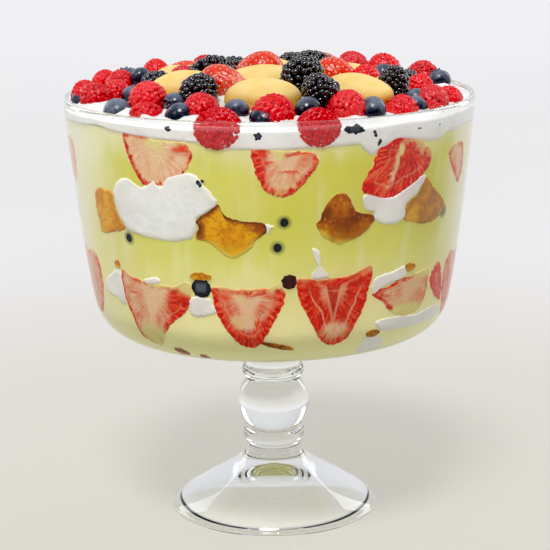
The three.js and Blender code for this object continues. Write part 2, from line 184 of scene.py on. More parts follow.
# The room is brightest behind the dish, and a little brighter on its right.
world = bpy.data.worlds.new("pale_room")
world.use_nodes = True
room = world.node_tree
heading = room.nodes.new("ShaderNodeSeparateXYZ")
room.links.new(room.nodes.new("ShaderNodeTexCoord").outputs["Generated"], heading.inputs[0])
room_light = room.nodes["Background"]
room_light.inputs["Color"].default_value = ROOM_COLOUR
level = None
for axis, share in (("X", MORE_TO_THE_RIGHT), ("Y", MORE_TO_THE_BACK)):
    part = room.nodes.new("ShaderNodeMath")
    part.operation = "MULTIPLY_ADD"
    room.links.new(heading.outputs[axis], part.inputs[0])
    part.inputs[1].default_value = share
    part.inputs[2].default_value = ROOM_LIGHT
    if level:
        room.links.new(level, part.inputs[2])
    level = part.outputs[0]
room.links.new(level, room_light.inputs["Strength"])
scene.world = world


def hung(name, lamp, place, aim):
    """A lamp in its place, turned the way it shines."""
    holder = bpy.data.objects.new(name, lamp)
    turned_to = Vector(aim).to_track_quat("-Z", "Y").to_matrix().to_4x4()
    holder.matrix_world = Matrix.Translation(place) @ turned_to
    scene.collection.objects.link(holder)
    return holder


# Soft lights: name, place, what it points at, width, height, strength in watts.
SOFT_LIGHTS = [
    ("key_light", (-1.2, -1.0, 1.5), (0, 0, 0.2), 0.5, 0.5, 3.5),
    ("left_window", (-0.95, 0.85, 0.6), (0, 0, 0.15), 0.3, 1.0, 2.2),
    ("right_window", (0.95, 0.85, 0.6), (0, 0, 0.15), 0.3, 1.0, 3.0),
    ("right_fill", (1.35, -0.15, 0.45), (0, 0, 0.15), 0.9, 0.9, 1.8),
    ("low_fill", (-0.4, -1.3, 0.12), (0, 0, 0.12), 1.2, 0.2, 0.28),
]
for name, place, target, width, height, watts in SOFT_LIGHTS:
    lamp = bpy.data.lights.new(name, "AREA")
    lamp.shape = "RECTANGLE"
    lamp.size = width
    lamp.size_y = height
    lamp.energy = watts
    hung(name, lamp, place, Vector(target) - Vector(place)).visible_camera = False
daylight = bpy.data.lights.new("daylight", "SUN")
daylight.energy = SUN_STRENGTH
daylight.angle = math.radians(SUN_ACROSS)
hung("daylight", daylight, (0, 0, 0), SUN_WAY)

camera_data = bpy.data.cameras.new("camera")
camera_data.lens = LENS
camera_data.sensor_width = SENSOR
camera_data.shift_x = SIDE_SHIFT
camera = bpy.data.objects.new("camera", camera_data)
camera.matrix_world = (
    Matrix.Translation(EYE)
    @ Matrix.Rotation(math.radians(90 - LOOK_DOWN), 4, "X")
    @ Matrix.Rotation(math.radians(CAMERA_ROLL), 4, "Z")
)
scene.collection.objects.link(camera)
scene.camera = camera
scene.view_settings.view_transform = "Standard"
scene.view_settings.use_curve_mapping = True
scene.view_settings.curve_mapping.black_level = (BLACK_LEVEL,) * 3
scene.view_settings.curve_mapping.update()

# ---------- glass bowl
# A clear glass trifle bowl on a turned foot, blown and joined while hot: a domed hollow foot,
# two rings and a ball for a stem, and a deep bowl with a rounded, fire-polished lip.

RIM_HEIGHT = 229.6
RIM_RADIUS = 108.6
LIP_RADIUS = 1.75
WALL = 3.3
SHOULDER_HEIGHT = 123
SHOULDER_RADIUS = 97.1
BOWL_UNDERSIDE = 98.2
BOWL_FLOOR = 104.6
NECK_RADIUS = 14.6
BALL_HEIGHT = 60
BALL_RADIUS = 20
FOOT_RADIUS = 56.2
FOOT_EDGE = 1.2
FOOT_BEARING = 50
FOOT_HOLLOW = 20
TURNED_STEPS = 192


def arch(start, pull, end, steps):
    """A curve from one (radius, height) to another, pulled towards a third."""
    return [tuple((1 - t) ** 2 * a + 2 * t * (1 - t) * b + t * t * c
                  for a, b, c in zip(start, pull, end)) for t in (i / steps for i in range(steps + 1))]


def sweep(start, leave, arrive, end, steps):
    """A curve with a direction of its own at each end."""
    return [tuple((1 - t) ** 3 * a + 3 * t * (1 - t) ** 2 * b + 3 * t * t * (1 - t) * c + t ** 3 * d
                  for a, b, c, d in zip(start, leave, arrive, end))
            for t in (i / steps for i in range(steps + 1))]


def round_edge(middle, across, tall, first, last, steps):
    """Part of an oval round a middle, between two angles in degrees."""
    turns = (math.radians(first + (last - first) * i / steps) for i in range(steps + 1))
    return [(middle[0] + across * math.cos(a), middle[1] + tall * math.sin(a)) for a in turns]


def inner_profile(inset, steps=24):
    """The inner side of the glass from the lip down to the axis, moved in by `inset`."""
    side = arch((RIM_RADIUS - LIP_RADIUS - inset, RIM_HEIGHT), (103.6 - WALL - inset, 158.6),
                (SHOULDER_RADIUS - WALL - inset, SHOULDER_HEIGHT + 1), steps)
    bottom = sweep(side[-1], (91.6 - inset, 112), (84 - inset, 108.6 + inset),
                   (60, 106.4 + inset), steps)
    return side + bottom[1:] + arch((60, 106.4 + inset), (30, BOWL_FLOOR + inset),
                                    (0, BOWL_FLOOR + inset), 6)[1:]


def turned(profile, steps=TURNED_STEPS):
    """A shape turned on the axis from a profile of (radius, height) points."""
    body = bmesh.new()
    corners = [body.verts.new((radius, 0, height)) for radius, height in profile]
    edges = [body.edges.new(pair) for pair in zip(corners, corners[1:])]
    bmesh.ops.spin(body, geom=corners + edges, axis=(0, 0, 1), cent=(0, 0, 0),
                   angle=math.tau, steps=steps, use_merge=True)
    bmesh.ops.remove_doubles(body, verts=body.verts, dist=0.0005)
    bmesh.ops.recalc_face_normals(body, faces=body.faces)
    return body


def piece(name, body, finish, slot, *nodes):
    """Makes a shape drawn in millimetres one piece of the dish, in its material."""
    bmesh.ops.scale(body, vec=(MM, MM, MM), verts=body.verts)
    mesh = bpy.data.meshes.new(name)
    body.to_mesh(mesh)
    body.free()
    mesh.polygons.foreach_set("use_smooth", [True] * len(mesh.polygons))
    mesh.materials.append(finish.material)
    made = bpy.data.objects.new(name, mesh)
    scene.collection.objects.link(made)
    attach(made, "root")
    if nodes:
        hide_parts(*nodes)
    return made


glass_finish = Finish("clear_glass", Roughness=0.0, IOR=1.5, Transmission_Weight=1.0,
                      Specular_IOR_Level=0.16, Coat_IOR=1.9, Coat_Roughness=0.05)
glass_finish.show(
    Base_Color=glass_finish.speckle(60).between((252, 254, 253), (255, 255, 255)),
    Coat_Weight=glass_finish.coordinate("Z").rising(0.2265, 0.2285),
    Normal=glass_finish.speckle(26, stretch=(1, 1, 4)).relief(0.03),
)
through = glass_finish.node("ShaderNodeBsdfTransparent")
in_shadow = glass_finish.node("ShaderNodeLightPath", output="Is Shadow Ray")
glass_finish.feed(
    glass_finish.tree.nodes["Material Output"].inputs["Surface"],
    glass_finish.node("ShaderNodeMixShader", None, {
        0: in_shadow, 1: Shade(glass_finish, glass_finish.surface.outputs[0]), 2: through}),
)

neck = arch((NECK_RADIUS, 91), (16, 97.6), (30, BOWL_UNDERSIDE), 14)
underside = arch(neck[-1], (58, 100), (76.7, 102.7), 10)
shoulder = sweep(underside[-1], (87, 104.4), (94.2, 109), (SHOULDER_RADIUS, SHOULDER_HEIGHT), 18)
glass_body = turned(
    arch((0, FOOT_HOLLOW), (22, 18), (FOOT_BEARING, 0), 24)
    + round_edge((FOOT_RADIUS, FOOT_EDGE), FOOT_EDGE, FOOT_EDGE, -90, 75, 8)
    + sweep((55.6, 3.6), (45, 13.5), (21, 22), (15.2, 32.4), 24)
    + round_edge((NECK_RADIUS, 41.7), 2.2, 4, -80, 75, 10)
    + round_edge((0, BALL_HEIGHT), BALL_RADIUS, 19.1, -47, 42, 22)
    + round_edge((NECK_RADIUS, 77.7), 2.4, 3.8, -80, 80, 10)
    + neck + underside[1:] + shoulder[1:]
    + arch(shoulder[-1], (103.6, 158.6), (RIM_RADIUS + LIP_RADIUS, RIM_HEIGHT - 1), 24)[1:]
    + round_edge((RIM_RADIUS, RIM_HEIGHT), LIP_RADIUS, LIP_RADIUS * 1.2, 0, 180, 12)
    + inner_profile(0)[1:]
)
glass_bowl = piece("glass_bowl_clear", glass_body, glass_finish, "glass", "glass_bowl")
glass_bowl.data.set_sharp_from_angle(angle=math.radians(38))

# ---------- custards
# Three thick layers of set egg custard, poured against the glass: smooth and pale yellow, with
# faint smears where the glass was wiped by the spoon, paler low down and at the sides, partly films
# of cream and partly painted light, and painted shade round each berry in it.

LOWER_SEAM = 141
UPPER_SEAM = 180
CUSTARD_TOP = 224
CUSTARD_PROUD = 0.3
# Berries sunk in the custard at the glass: azimuth, height. Round each the custard has painted
# shade; the last shows only as that painted shade.
SUNK_BERRIES = [(-45, 168), (3.6, 181), (1.7, 168), (59, 176)]

wall_line = inner_profile(0, 60)


def wall_radius(height):
    """Radius of the inner side of the glass at a height."""
    for (upper_radius, upper), (lower_radius, lower) in zip(wall_line, wall_line[1:]):
        if upper >= height >= lower and upper > lower:
            return lower_radius + (upper_radius - lower_radius) * (height - lower) / (upper - lower)
    return wall_line[0][0]


def round_axis(azimuth, radius, height):
    """A place by its azimuth, 0 at the front and rising to the right, radius and height."""
    a = math.radians(azimuth)
    return Vector((radius * math.sin(a), -radius * math.cos(a), height))


def at_wall(azimuth, height, depth=0.0):
    """A place on the inner side of the glass, `depth` in from it."""
    return round_axis(azimuth, wall_radius(height) - depth, height)


def filling(bottom, top):
    """A layer that fills the bowl from one height to another."""
    side = [(r, h) for r, h in inner_profile(-CUSTARD_PROUD, 40) if bottom < h < top]
    upper_edge = (wall_radius(top) + CUSTARD_PROUD, top)
    if bottom < BOWL_FLOOR:
        return turned([(0, top), upper_edge] + side + [(0, BOWL_FLOOR - CUSTARD_PROUD)])
    lower_edge = (wall_radius(bottom) + CUSTARD_PROUD, bottom)
    return turned([(0, top), upper_edge] + side + [lower_edge, (0, bottom)])


custard_finish = Finish("custard", Specular_IOR_Level=0.12)
smear = custard_finish.speckle(9, 3, stretch=(1, 1, 7))
cloud = custard_finish.speckle(34, 2, stretch=(1, 1, 1.4))
how_high = custard_finish.coordinate("Z")
how_wide = custard_finish.coordinate("X")
custard_tone = cloud.rising(0.35, 0.7).between((221, 218, 90), (226, 222, 114))
# Films of cream: low in the dish, under the top cream, and down the sides. The low and side
# films are also painted light that lifts the low part and the right side, which lie in shade, and
# the palest edges are painted light at the edges of the glass.
low_film_and_painted_light = 1 - (how_high + 0.02 * (cloud - 0.5)).rising(0.118, 0.18)
custard_tone = custard_tone.washed((smear + 0.12 * low_film_and_painted_light).rising(0.5, 0.78) * 0.55, (238, 235, 184))
custard_tone = custard_tone.washed(low_film_and_painted_light * 0.9, (255, 252, 190))
rim_film = (how_high + 0.03 * (cloud - 0.5) + 0.016 * (smear - 0.5)).rising(0.203, 0.219)
side_film_and_painted_light = (abs(how_wide - 0.008) + 0.03 * (cloud - 0.5) + 0.02 * (smear - 0.5)).rising(0.07, 0.1)
edge_film_and_painted_light = (abs(how_wide) + 0.016 * (cloud - 0.5)).rising(0.084, 0.1)
custard_tone = custard_tone.washed(rim_film * 0.55 + side_film_and_painted_light * 0.72, (246, 243, 196))
custard_tone = custard_tone.washed(edge_film_and_painted_light * 0.6, (248, 246, 226))
# Painted shade: the custard is darkened round each sunk berry, as if shaded by the berry under it.
painted_berry_shade = 0.0
for azimuth, height in SUNK_BERRIES:
    away = custard_finish.node("ShaderNodeVectorMath", {"operation": "DISTANCE"},
                               {0: custard_finish.place, 1: at_wall(azimuth, height) * MM}, "Value")
    painted_berry_shade = painted_berry_shade + (1 - away.rising(0.0016, 0.0048))
custard_finish.show(
    Base_Color=custard_tone.washed(painted_berry_shade * 0.8, (70, 80, 50)),
    Roughness=0.36 + 0.16 * smear,
    Normal=custard_finish.speckle(7, 3).relief(0.12),
)
CUSTARDS = [
    ("custard_bottom", 0, LOWER_SEAM), ("custard_middle", LOWER_SEAM, UPPER_SEAM),
    ("custard_top", UPPER_SEAM, CUSTARD_TOP),
]
for name, bottom, top in CUSTARDS:
    layer = piece(name + "_set", filling(bottom, top), custard_finish, "custard", name)
    layer.data.set_sharp_from_angle(angle=math.radians(40))

# ---------- halved strawberries
# Ripe strawberries cut in half and pressed cut side out against the glass, eleven low down and
# nine under the top cream: red skin, a paler flesh with rays, a core, and films of custard.

HALF_DEPTH = 12
HALF_PROUD = 0.6
AROUND = 96
RULE_FACTOR = 16807
RULE_LIMIT = 2147483647
# The first number of the row that spreads the far side of the dish.
lot = 24


def draw(low, high):
    """The next number of that row, between two limits."""
    global lot
    lot = lot * RULE_FACTOR % RULE_LIMIT
    return low + (high - low) * lot / RULE_LIMIT


def far_side(count, first, last, height, width, tall):
    """Pieces that carry on round the far side, a little uneven."""
    return [(first + (last - first) * i / (count - 1) + draw(-3, 3), height + draw(-4, 4),
             width + draw(-5, 5), tall + draw(-4, 4), draw(-15, 15)) for i in range(count)]


def smooth_loop(points, count):
    """A closed smooth curve through points, as `count` even steps."""
    fine = []
    for i, p1 in enumerate(points):
        p0, p2, p3 = points[i - 1], points[(i + 1) % len(points)], points[(i + 2) % len(points)]
        for t in (k / 10 for k in range(10)):
            fine.append(tuple(
                0.5 * (2 * b + (c - a) * t + (2 * a - 5 * b + 4 * c - d) * t * t
                       + (3 * b - a - 3 * c + d) * t ** 3)
                for a, b, c, d in zip(p0, p1, p2, p3)))
    reach = [0.0]
    for a, b in zip(fine, fine[1:] + fine[:1]):
        reach.append(reach[-1] + math.dist(a, b))
    loop, k = [], 0
    for i in range(count):
        goal = reach[-1] * i / count
        while reach[k + 1] < goal:
            k += 1
        t = (goal - reach[k]) / max(reach[k + 1] - reach[k], 1e-9)
        a, b = fine[k], fine[(k + 1) % len(fine)]
        loop.append((a[0] + (b[0] - a[0]) * t, a[1] + (b[1] - a[1]) * t))
    return loop


def kept_mesh(name, body):
    """A shape kept aside, to be set down many times."""
    mesh = bpy.data.meshes.new(name)
    body.to_mesh(mesh)
    body.free()
    return mesh


# Across a pressed piece, from the middle of its face over the edge to its back:
# the share of the way out and the share of its depth.
PRESSED_SECTION = [
    (0, 0), (0.12, 0), (0.25, 0), (0.38, 0), (0.5, 0), (0.62, 0), (0.72, 0), (0.8, 0), (0.87, 0),
    (0.93, 0), (0.97, 0), (1, 0), (1, 0.25), (0.96, 0.5), (0.84, 0.75), (0.6, 0.92), (0, 1),
]


def clamped(value, low=0):
    """A share kept between `low` and 1."""
    return max(min(value, 1), low)


def patched(look, patches, azimuth, height):
    """The look of a face at one place, with its riper and paler patches laid over it."""
    arc = math.radians(1) * wall_radius(height)
    ripe, veil, *others = look
    for middle, level, wide, tall, patch_ripe, patch_veil in patches:
        away = math.hypot((azimuth - middle) * arc / wide, (height - level) / tall)
        share = clamped((1.35 - away) / 0.7)
        ripe += (patch_ripe - ripe) * share
        veil += (patch_veil - veil) * share
    return (ripe, veil, *others)


def pressed(body, outline, depth, proud, edge=1.2, axis=None, look=(0, 0, 0, 0, 0), rough=0.0,
            sway=0.0, spin=0, patches=()):
    """Adds a piece pressed flat against the glass inside an outline of (azimuth, height).

    Its back is `depth` from its face, which stands `proud` into the glass and is rounded off by
    `edge`. `rough` and `sway` make the outline uneven, finely and widely.
    """
    middle_height = sum(h for a, h in outline) / len(outline)
    middle = sum(a for a, h in outline) / len(outline)
    arc = math.radians(1) * wall_radius(middle_height)
    loop = smooth_loop([((a - middle) * arc, h - middle_height) for a, h in outline], AROUND)
    shift = (sum(x for x, y in loop) / AROUND, sum(y for x, y in loop) / AROUND)
    crown, tip = axis or ((middle, max(h for a, h in outline)), (middle, min(h for a, h in outline)))
    crown = Vector(((crown[0] - middle) * arc, crown[1] - middle_height))
    run = Vector(((tip[0] - middle) * arc, tip[1] - middle_height)) - crown
    side = Vector((-run.y, run.x)).normalized()
    half_width = max(abs((Vector(p) - crown).dot(side)) for p in loop)
    disc = turned(PRESSED_SECTION, AROUND)
    cut = disc.verts.layers.float_color.new("cut")
    tell = disc.verts.layers.float_color.new("look")
    for vert in disc.verts:
        share = math.hypot(vert.co.x, vert.co.y)
        back = vert.co.z
        k = round(math.atan2(vert.co.y, vert.co.x) / math.tau * AROUND) % AROUND if share else 0
        spread = math.dist(loop[k], shift)
        wobble = rough * noise.noise(Vector((loop[k][0] * 0.55, loop[k][1] * 0.55, spin)))
        wobble += sway * noise.noise(Vector((loop[k][0] * 0.14, loop[k][1] * 0.14, spin)))
        grow = share * (1 + wobble / max(spread, 1))
        x = shift[0] + (loop[k][0] - shift[0]) * grow
        y = shift[1] + (loop[k][1] - shift[1]) * grow
        rim = max((1 - share) * spread, 0) if back == 0 else 0
        inward = edge - math.sqrt(max(edge ** 2 - max(edge - rim, 0) ** 2, 0)) if rim < edge else 0
        place = Vector((x, y)) - crown
        vert[cut] = (rim, place.dot(side) / half_width, place.dot(run) / run.length_squared, look[4])
        vert[tell] = patched(look[:4], patches, middle + x / arc, middle_height + y)
        vert.co = at_wall(middle + x / arc, middle_height + y, inward + back * depth - proud)
    mesh = kept_mesh("pressed", disc)
    body.from_mesh(mesh)
    bpy.data.meshes.remove(mesh)


def pressed_piece(outline, depth, proud, **how):
    """A body with one such piece in it."""
    body = bmesh.new()
    pressed(body, outline, depth, proud, **how)
    bmesh.ops.recalc_face_normals(body, faces=body.faces)
    return body


# Half of a strawberry seen on its cut face, in a square one across.
HALF_SIDE = [(0.26, 0.5), (0.45, 0.38), (0.5, 0.14), (0.42, -0.14), (0.26, -0.37), (0.1, -0.48)]
HALF_SHAPE = [(0, 0.44)] + HALF_SIDE + [(-x, y) for x, y in reversed(HALF_SIDE)]


def placed_outline(shape, azimuth, height, width, tall, lean):
    """An outline drawn in a square, set at the glass at its size and lean."""
    turn = math.radians(lean)
    arc = math.radians(1) * wall_radius(height)
    spots = []
    for x, y in shape:
        x, y = x * width, y * tall
        spots.append((azimuth + (x * math.cos(turn) - y * math.sin(turn)) / arc,
                      height + x * math.sin(turn) + y * math.cos(turn)))
    return spots


def separated(finish, name):
    """The four numbers that a piece carries under a name."""
    carried = finish.node("ShaderNodeAttribute", {"attribute_name": name}, None, "Color")
    split = finish.node("ShaderNodeSeparateColor", None, {0: carried}).socket.node
    return [Shade(finish, out) for out in (*split.outputs, carried.socket.node.outputs["Alpha"])]


cut_finish = Finish("cut_strawberry", Specular_IOR_Level=0.0)
rim_depth, across, along, bias = separated(cut_finish, "cut")
ripe, veil, skin_width, core = separated(cut_finish, "look")
grain = cut_finish.speckle(1.6, 3) - 0.5
blotch = cut_finish.speckle(6, 2) - 0.5
angle = across.worked("ARCTAN2", across, along - 0.2)


def rays_of(count, run):
    """Streaks that run from the core out to the skin."""
    where = cut_finish.node("ShaderNodeCombineXYZ", None,
                            {0: angle * count, 1: rim_depth * run, 2: bias * 9})
    streak = {"Vector": where, "Scale": 1.0, "Detail": 3.0}
    return cut_finish.node("ShaderNodeTexNoise", None, streak, "Fac") - 0.5


rays = rays_of(7, 0.08)
veins = rays_of(16, 0.1)
teeth = rays_of(13, 0.0)
at_crown = 1 - (along + 0.3 * blotch).rising(-0.02, 0.13)
# The flesh pales inwards from a red band under the skin; a ripe berry is red to its core.
pale_flesh = blotch.rising(-0.15, 0.2).between((240, 206, 170), (236, 180, 136))
red_flesh = (rays + 0.5 * grain).rising(-0.12, 0.16).between((206, 12, 0), (235, 66, 28))
ripeness = ripe + 1.3 * rays + 0.5 * veins + 0.25 * blotch
flesh = ripeness.rising(0.1, 0.85).between(pale_flesh, red_flesh)
# The core: a pale wedge in most, red in a few, with a pale line and pale flesh beside it.
pale_core = (0.44 - 0.62 * along + 0.2 * blotch + 0.25 * rays - abs(across)).rising(-0.1, 0.12)
flesh = flesh.washed(pale_core * (1 - core) * (1 - ripe.rising(0.65, 0.95)), (240, 204, 166))
core_half = 0.26 - 0.4 * along + 0.08 * blotch
inside_core = (core_half - abs(across) + 0.05 * grain).rising(0, 0.05)
beside_core = (core_half + 0.2 - abs(across) + 0.3 * rays).rising(0, 0.14) * (1 - along.rising(0.22, 0.5))
flesh = flesh.washed(beside_core * core * 0.7, (240, 190, 146))
core_red = rays.rising(-0.06, 0.12).between((188, 22, 8), (226, 84, 50))
flesh = flesh.washed(inside_core * core.rising(0.4, 0.9), core_red)
core_edge = (1 - abs(abs(across) - core_half).rising(0.008, 0.045)) * (0.7 - along).rising(0, 0.1)
flesh = flesh.washed(core_edge * core * 0.7, (236, 170, 132))
# The red band, a pale ring inside it, and pale streaks across both.
band_width = skin_width * 10 * (1 + bias * across)
ring = 1 - abs(rim_depth + 2 * rays - 1.6 * band_width).rising(0.1, 0.8)
flesh = flesh.washed(ring * (0.35 + 0.4 * core) * along.rising(0.12, 0.35), (244, 190, 150))
band = 1 - (rim_depth + grain + 6 * rays + 4 * veins).rising(band_width * 0.6, band_width * 1.6)
band = band * (1 - at_crown)
band_red = (grain + 0.6 * veins).rising(-0.12, 0.14).between((206, 6, 0), (244, 36, 6))
flesh = flesh.washed(band, band_red)
streaks = (veins + 0.3 * grain).rising(0.02, 0.13) * rim_depth.rising(0.6, 2.0)
flesh = flesh.washed(streaks * (ripe + band).rising(0.3, 0.8) * (0.36 - 0.12 * core), (250, 156, 108))
# Custard over the face and the crown, and in small notches along the skin, where the seeds sit.
film = (blotch + 0.4 * grain).rising(-0.12, 0.1) * veil + veil.rising(0.6, 1.0)
film = film * (1 - 0.6 * rays) + at_crown * (0.9 - 0.5 * core.rising(0.4, 0.9))
film = film + (1 - rim_depth.rising(0.5, 1.2)) * teeth.rising(0.0, 0.07)
cut_finish.show(
    Base_Color=flesh.washed(film, (232, 222, 146)),
    Roughness=0.26 + 0.2 * veil,
    Normal=(rays * 0.6 + grain).relief(0.4),
)

# The halves in order from the left. At the front each has an outline of its own, in azimuth and
# height; the others are given by azimuth, height, width, height of the half and lean.
LOW_HALVES = [
    (-73, 137, 32, 38, 0),
    [(-50.9, 150), (-46, 147), (-34.6, 146), (-29.4, 146), (-25.9, 149), (-23.9, 148), (-24.2, 140),
     (-26.5, 132), (-31.2, 126), (-35.5, 118), (-39.5, 111.5), (-44.4, 112), (-47.2, 116),
     (-48.5, 123), (-50, 129), (-51.6, 138)],
    [(-17.9, 147), (-17.7, 140), (-16.9, 133), (-14.7, 125), (-12.6, 120), (-9.6, 115.5),
     (-6, 114.5), (-3.4, 117), (-1.7, 121), (0.3, 127), (2.1, 133), (3.6, 139), (4.1, 144),
     (2.7, 150), (-0.5, 147.5), (-6.5, 147), (-12.3, 147)],
    [(6.8, 150), (8.5, 152), (12.5, 151), (16.5, 151), (21.8, 151.5), (25.6, 153), (29.8, 156),
     (30.9, 151), (29.8, 143), (29, 135), (26.7, 126), (23.6, 117), (19.7, 114), (16.7, 115),
     (14.2, 119), (11.9, 126), (9.4, 134), (7.5, 141)],
    [(30.9, 139), (32.9, 142), (36.1, 142), (39.3, 145), (44.4, 146), (50.3, 147), (55, 146),
     (55, 134), (52.5, 126), (46.3, 124), (40.4, 126), (37.2, 130), (35.3, 134)],
    [(56, 139), (57, 146), (60.5, 149), (64, 141), (66, 132), (66.5, 125), (60.5, 130)],
    (75, 133, 32, 38, 0),
] + far_side(4, 114, 244, 137, 40, 38)
HIGH_HALVES = [
    (-79, 200, 26, 30, 0),
    [(-42.6, 224), (-37, 223), (-29.5, 221), (-22.6, 221), (-20.9, 217), (-21.3, 211), (-24, 204),
     (-29.7, 198), (-33.5, 197), (-37, 197), (-39, 201), (-41.4, 209), (-42.7, 217)],
    [(-5.2, 219), (-1.1, 219), (3.7, 218), (11.7, 216), (12.9, 213), (12.4, 208), (9.9, 202),
     (7.4, 196.5), (4.6, 194), (1.8, 194), (-0.9, 196), (-2.8, 200), (-4.4, 208)],
    [(30.9, 222), (34.4, 222), (38, 223), (42.9, 219), (46.8, 215), (49.9, 210), (49.3, 203),
     (47.1, 199), (41.5, 193), (36.6, 189.5), (32.3, 188), (29, 191), (25.4, 194), (25.4, 198),
     (26.5, 202), (28.3, 209), (29.6, 216)],
    [(60, 211), (63.3, 212), (68.7, 210), (70.8, 201), (70.5, 194), (68.2, 188), (63.9, 194),
     (59.9, 202), (58.7, 207)],
] + far_side(4, 104, 240, 206, 36, 30)
# Crown and tip of the same halves.
LOW_AXES = {1: ((-37, 148), (-42.5, 110)), 2: ((-7, 149), (-7.5, 113)), 3: ((18, 153), (18.7, 113)),
            4: ((47, 147), (43, 122)), 5: ((60, 149), (63, 124))}
HIGH_AXES = {1: ((-31, 223), (-34, 195)), 2: ((4.5, 219), (3, 193)), 3: ((43, 219), (31, 188)),
             4: ((65, 212), (67, 186))}
# Ripeness, film of custard, width of the red band / 10, redness of the core, wider band on one side.
PLAIN_LOOK = (0.2, 0.3, 0.5, 0.0)
LOW_LOOKS = [
    (0.5, 0.35, 0.3, 0.5, 0.0), (0.42, 0.1, 0.26, 0.0, 0.35), (0.5, 0.0, 0.42, 0.0, 0.1),
    (0.98, 0.0, 0.46, 1.0, -0.1), (0.4, 0.25, 0.2, 0.2, -0.5), (1.0, 0.0, 0.5, 0.8, 0.0),
    (0.8, 0.3, 0.3, 0.5, 0.0),
]
HIGH_LOOKS = [
    (0.3, 0.4, 0.2, 0.4, 0.0), (0.16, 0.1, 0.2, 0.0, -0.5), (0.34, 0.1, 0.34, 0.0, -0.3),
    (1.12, 0.0, 0.5, 0.0, -0.2), (0.4, 0.3, 0.3, 0.3, 0.0),
]
# Patches on those faces: azimuth, height, half their width and height, ripeness, film of custard.
LOW_PATCHES = {
    1: [(-28.9, 136, 6, 11, 1.0, 0.0), (-36.5, 147, 6, 3.5, 0.0, 1.0), (-41, 116, 10, 8, 0.1, 0.85)],
    2: [(-8.3, 128.8, 6, 3.5, 0.0, 0.5), (-7.5, 143, 7, 5, 0.1, 0.45), (-3.8, 127.8, 2.5, 2, 1.0, 0.0),
        (-7.5, 119, 8, 5, 0.9, 0.0)],
    3: [(19, 122, 8, 5, 0.2, 0.4)],
    4: [(33, 139, 4, 4, 1.0, 0.0), (44, 127, 16, 4, 0.2, 0.9)],
}
HIGH_PATCHES = {
    1: [(-23.6, 216.5, 6, 5, 0.6, 0.0), (-32, 219, 6, 3.6, 0.0, 0.9), (-31.4, 214, 3.2, 5, 0.0, 0.7)],
    2: [(-2.6, 212, 4, 8, 0.8, 0.0), (2, 216.5, 4.5, 4, 0.0, 0.85), (4.6, 206.6, 4, 1.1, 0.9, 0.0),
        (3, 196, 14, 4.5, 0.05, 0.42)],
    3: [(37.6, 214, 1.7, 3.2, 0.0, 0.8), (36.3, 208, 1.3, 4.4, 0.1, 0.55),
        (35.1, 201.5, 1.3, 4.6, 0.1, 0.5), (33.4, 195.5, 1.2, 3.2, 0.3, 0.3),
        (45.5, 211, 2.2, 3, 0.4, 0.1), (40.5, 218, 5, 1.6, 0.2, 0.5)],
}


def halves(family, rows, axes, looks, patches):
    """One row of halves, each its own piece."""
    for i, row in enumerate(rows):
        look = looks[i] if i < len(looks) else (0.45 + 0.17 * (i % 3), *PLAIN_LOOK)
        outline = row if isinstance(row, list) else placed_outline(HALF_SHAPE, *row)
        body = pressed_piece(outline, HALF_DEPTH, HALF_PROUD, edge=1.0, axis=axes.get(i), look=look,
                             rough=0.9, spin=i * 3.7, patches=patches.get(i, ()))
        piece(f"{family}_half_{i + 1:02}", body, cut_finish, "cut_strawberry",
              f"{family}_strawberry_{i + 1:02}")


halves("low", LOW_HALVES, LOW_AXES, LOW_LOOKS, LOW_PATCHES)
halves("high", HIGH_HALVES, HIGH_AXES, HIGH_LOOKS, HIGH_PATCHES)

# ---------- sponge cakes at the glass
# Eight small sponge cakes laid on the lower custard, their baked crust against the glass:
# golden to dark brown, darkest along the upper edge, sunk into the custard below.

SPONGE_DEPTH = 17
SPONGE_PROUD = 0.75
SPONGE_SHAPE = [(-0.5, -0.05), (-0.4, 0.3), (-0.1, 0.5), (0.25, 0.46), (0.5, 0.12), (0.44, -0.25),
                (0.1, -0.5), (-0.32, -0.42)]

crust_finish = Finish("baked_sponge", Roughness=0.6, Specular_IOR_Level=0.0)
rim_depth, across, along, bias = separated(crust_finish, "cut")
brown, sunk, edge_dark, pale = separated(crust_finish, "look")
crumb = crust_finish.speckle(1.6, 3)
patch = crust_finish.speckle(8, 3)
golden = patch.rising(0.35, 0.68).between((240, 178, 14), (216, 134, 0))
baked = patch.rising(0.3, 0.7).between((184, 92, 2), (120, 48, 0))
brownness = brown + 0.9 * (patch - 0.5) + 0.8 * across * bias
crust = brownness.rising(0.2, 0.8).between(golden, baked)
dark_edge = (1 - (rim_depth + 3 * (patch - 0.5)).rising(0.8, 4.0)) * edge_dark
crust = crust.washed(dark_edge * (1 - along.rising(0.45, 0.75)), (98, 30, 0))
crust = crust.washed(crumb.rising(0.55, 0.72) * 0.45, (238, 172, 44))
crust = crust.washed(0.5 - 0.5 * crumb.rising(0.34, 0.46), (150, 74, 0))
crust = crust.washed((along + 0.6 * (patch - 0.5)).rising(0.6, 1.0) * sunk, (232, 180, 34))
under_custard = (1 - (rim_depth + 2 * (patch - 0.5)).rising(0.2, 3.6)) * along.rising(0.55, 0.8)
crust = crust.washed(under_custard * sunk, (226, 214, 104)).washed(pale, (216, 164, 74))
crust_finish.show(Base_Color=crust, Normal=(crumb + patch).relief(0.5))

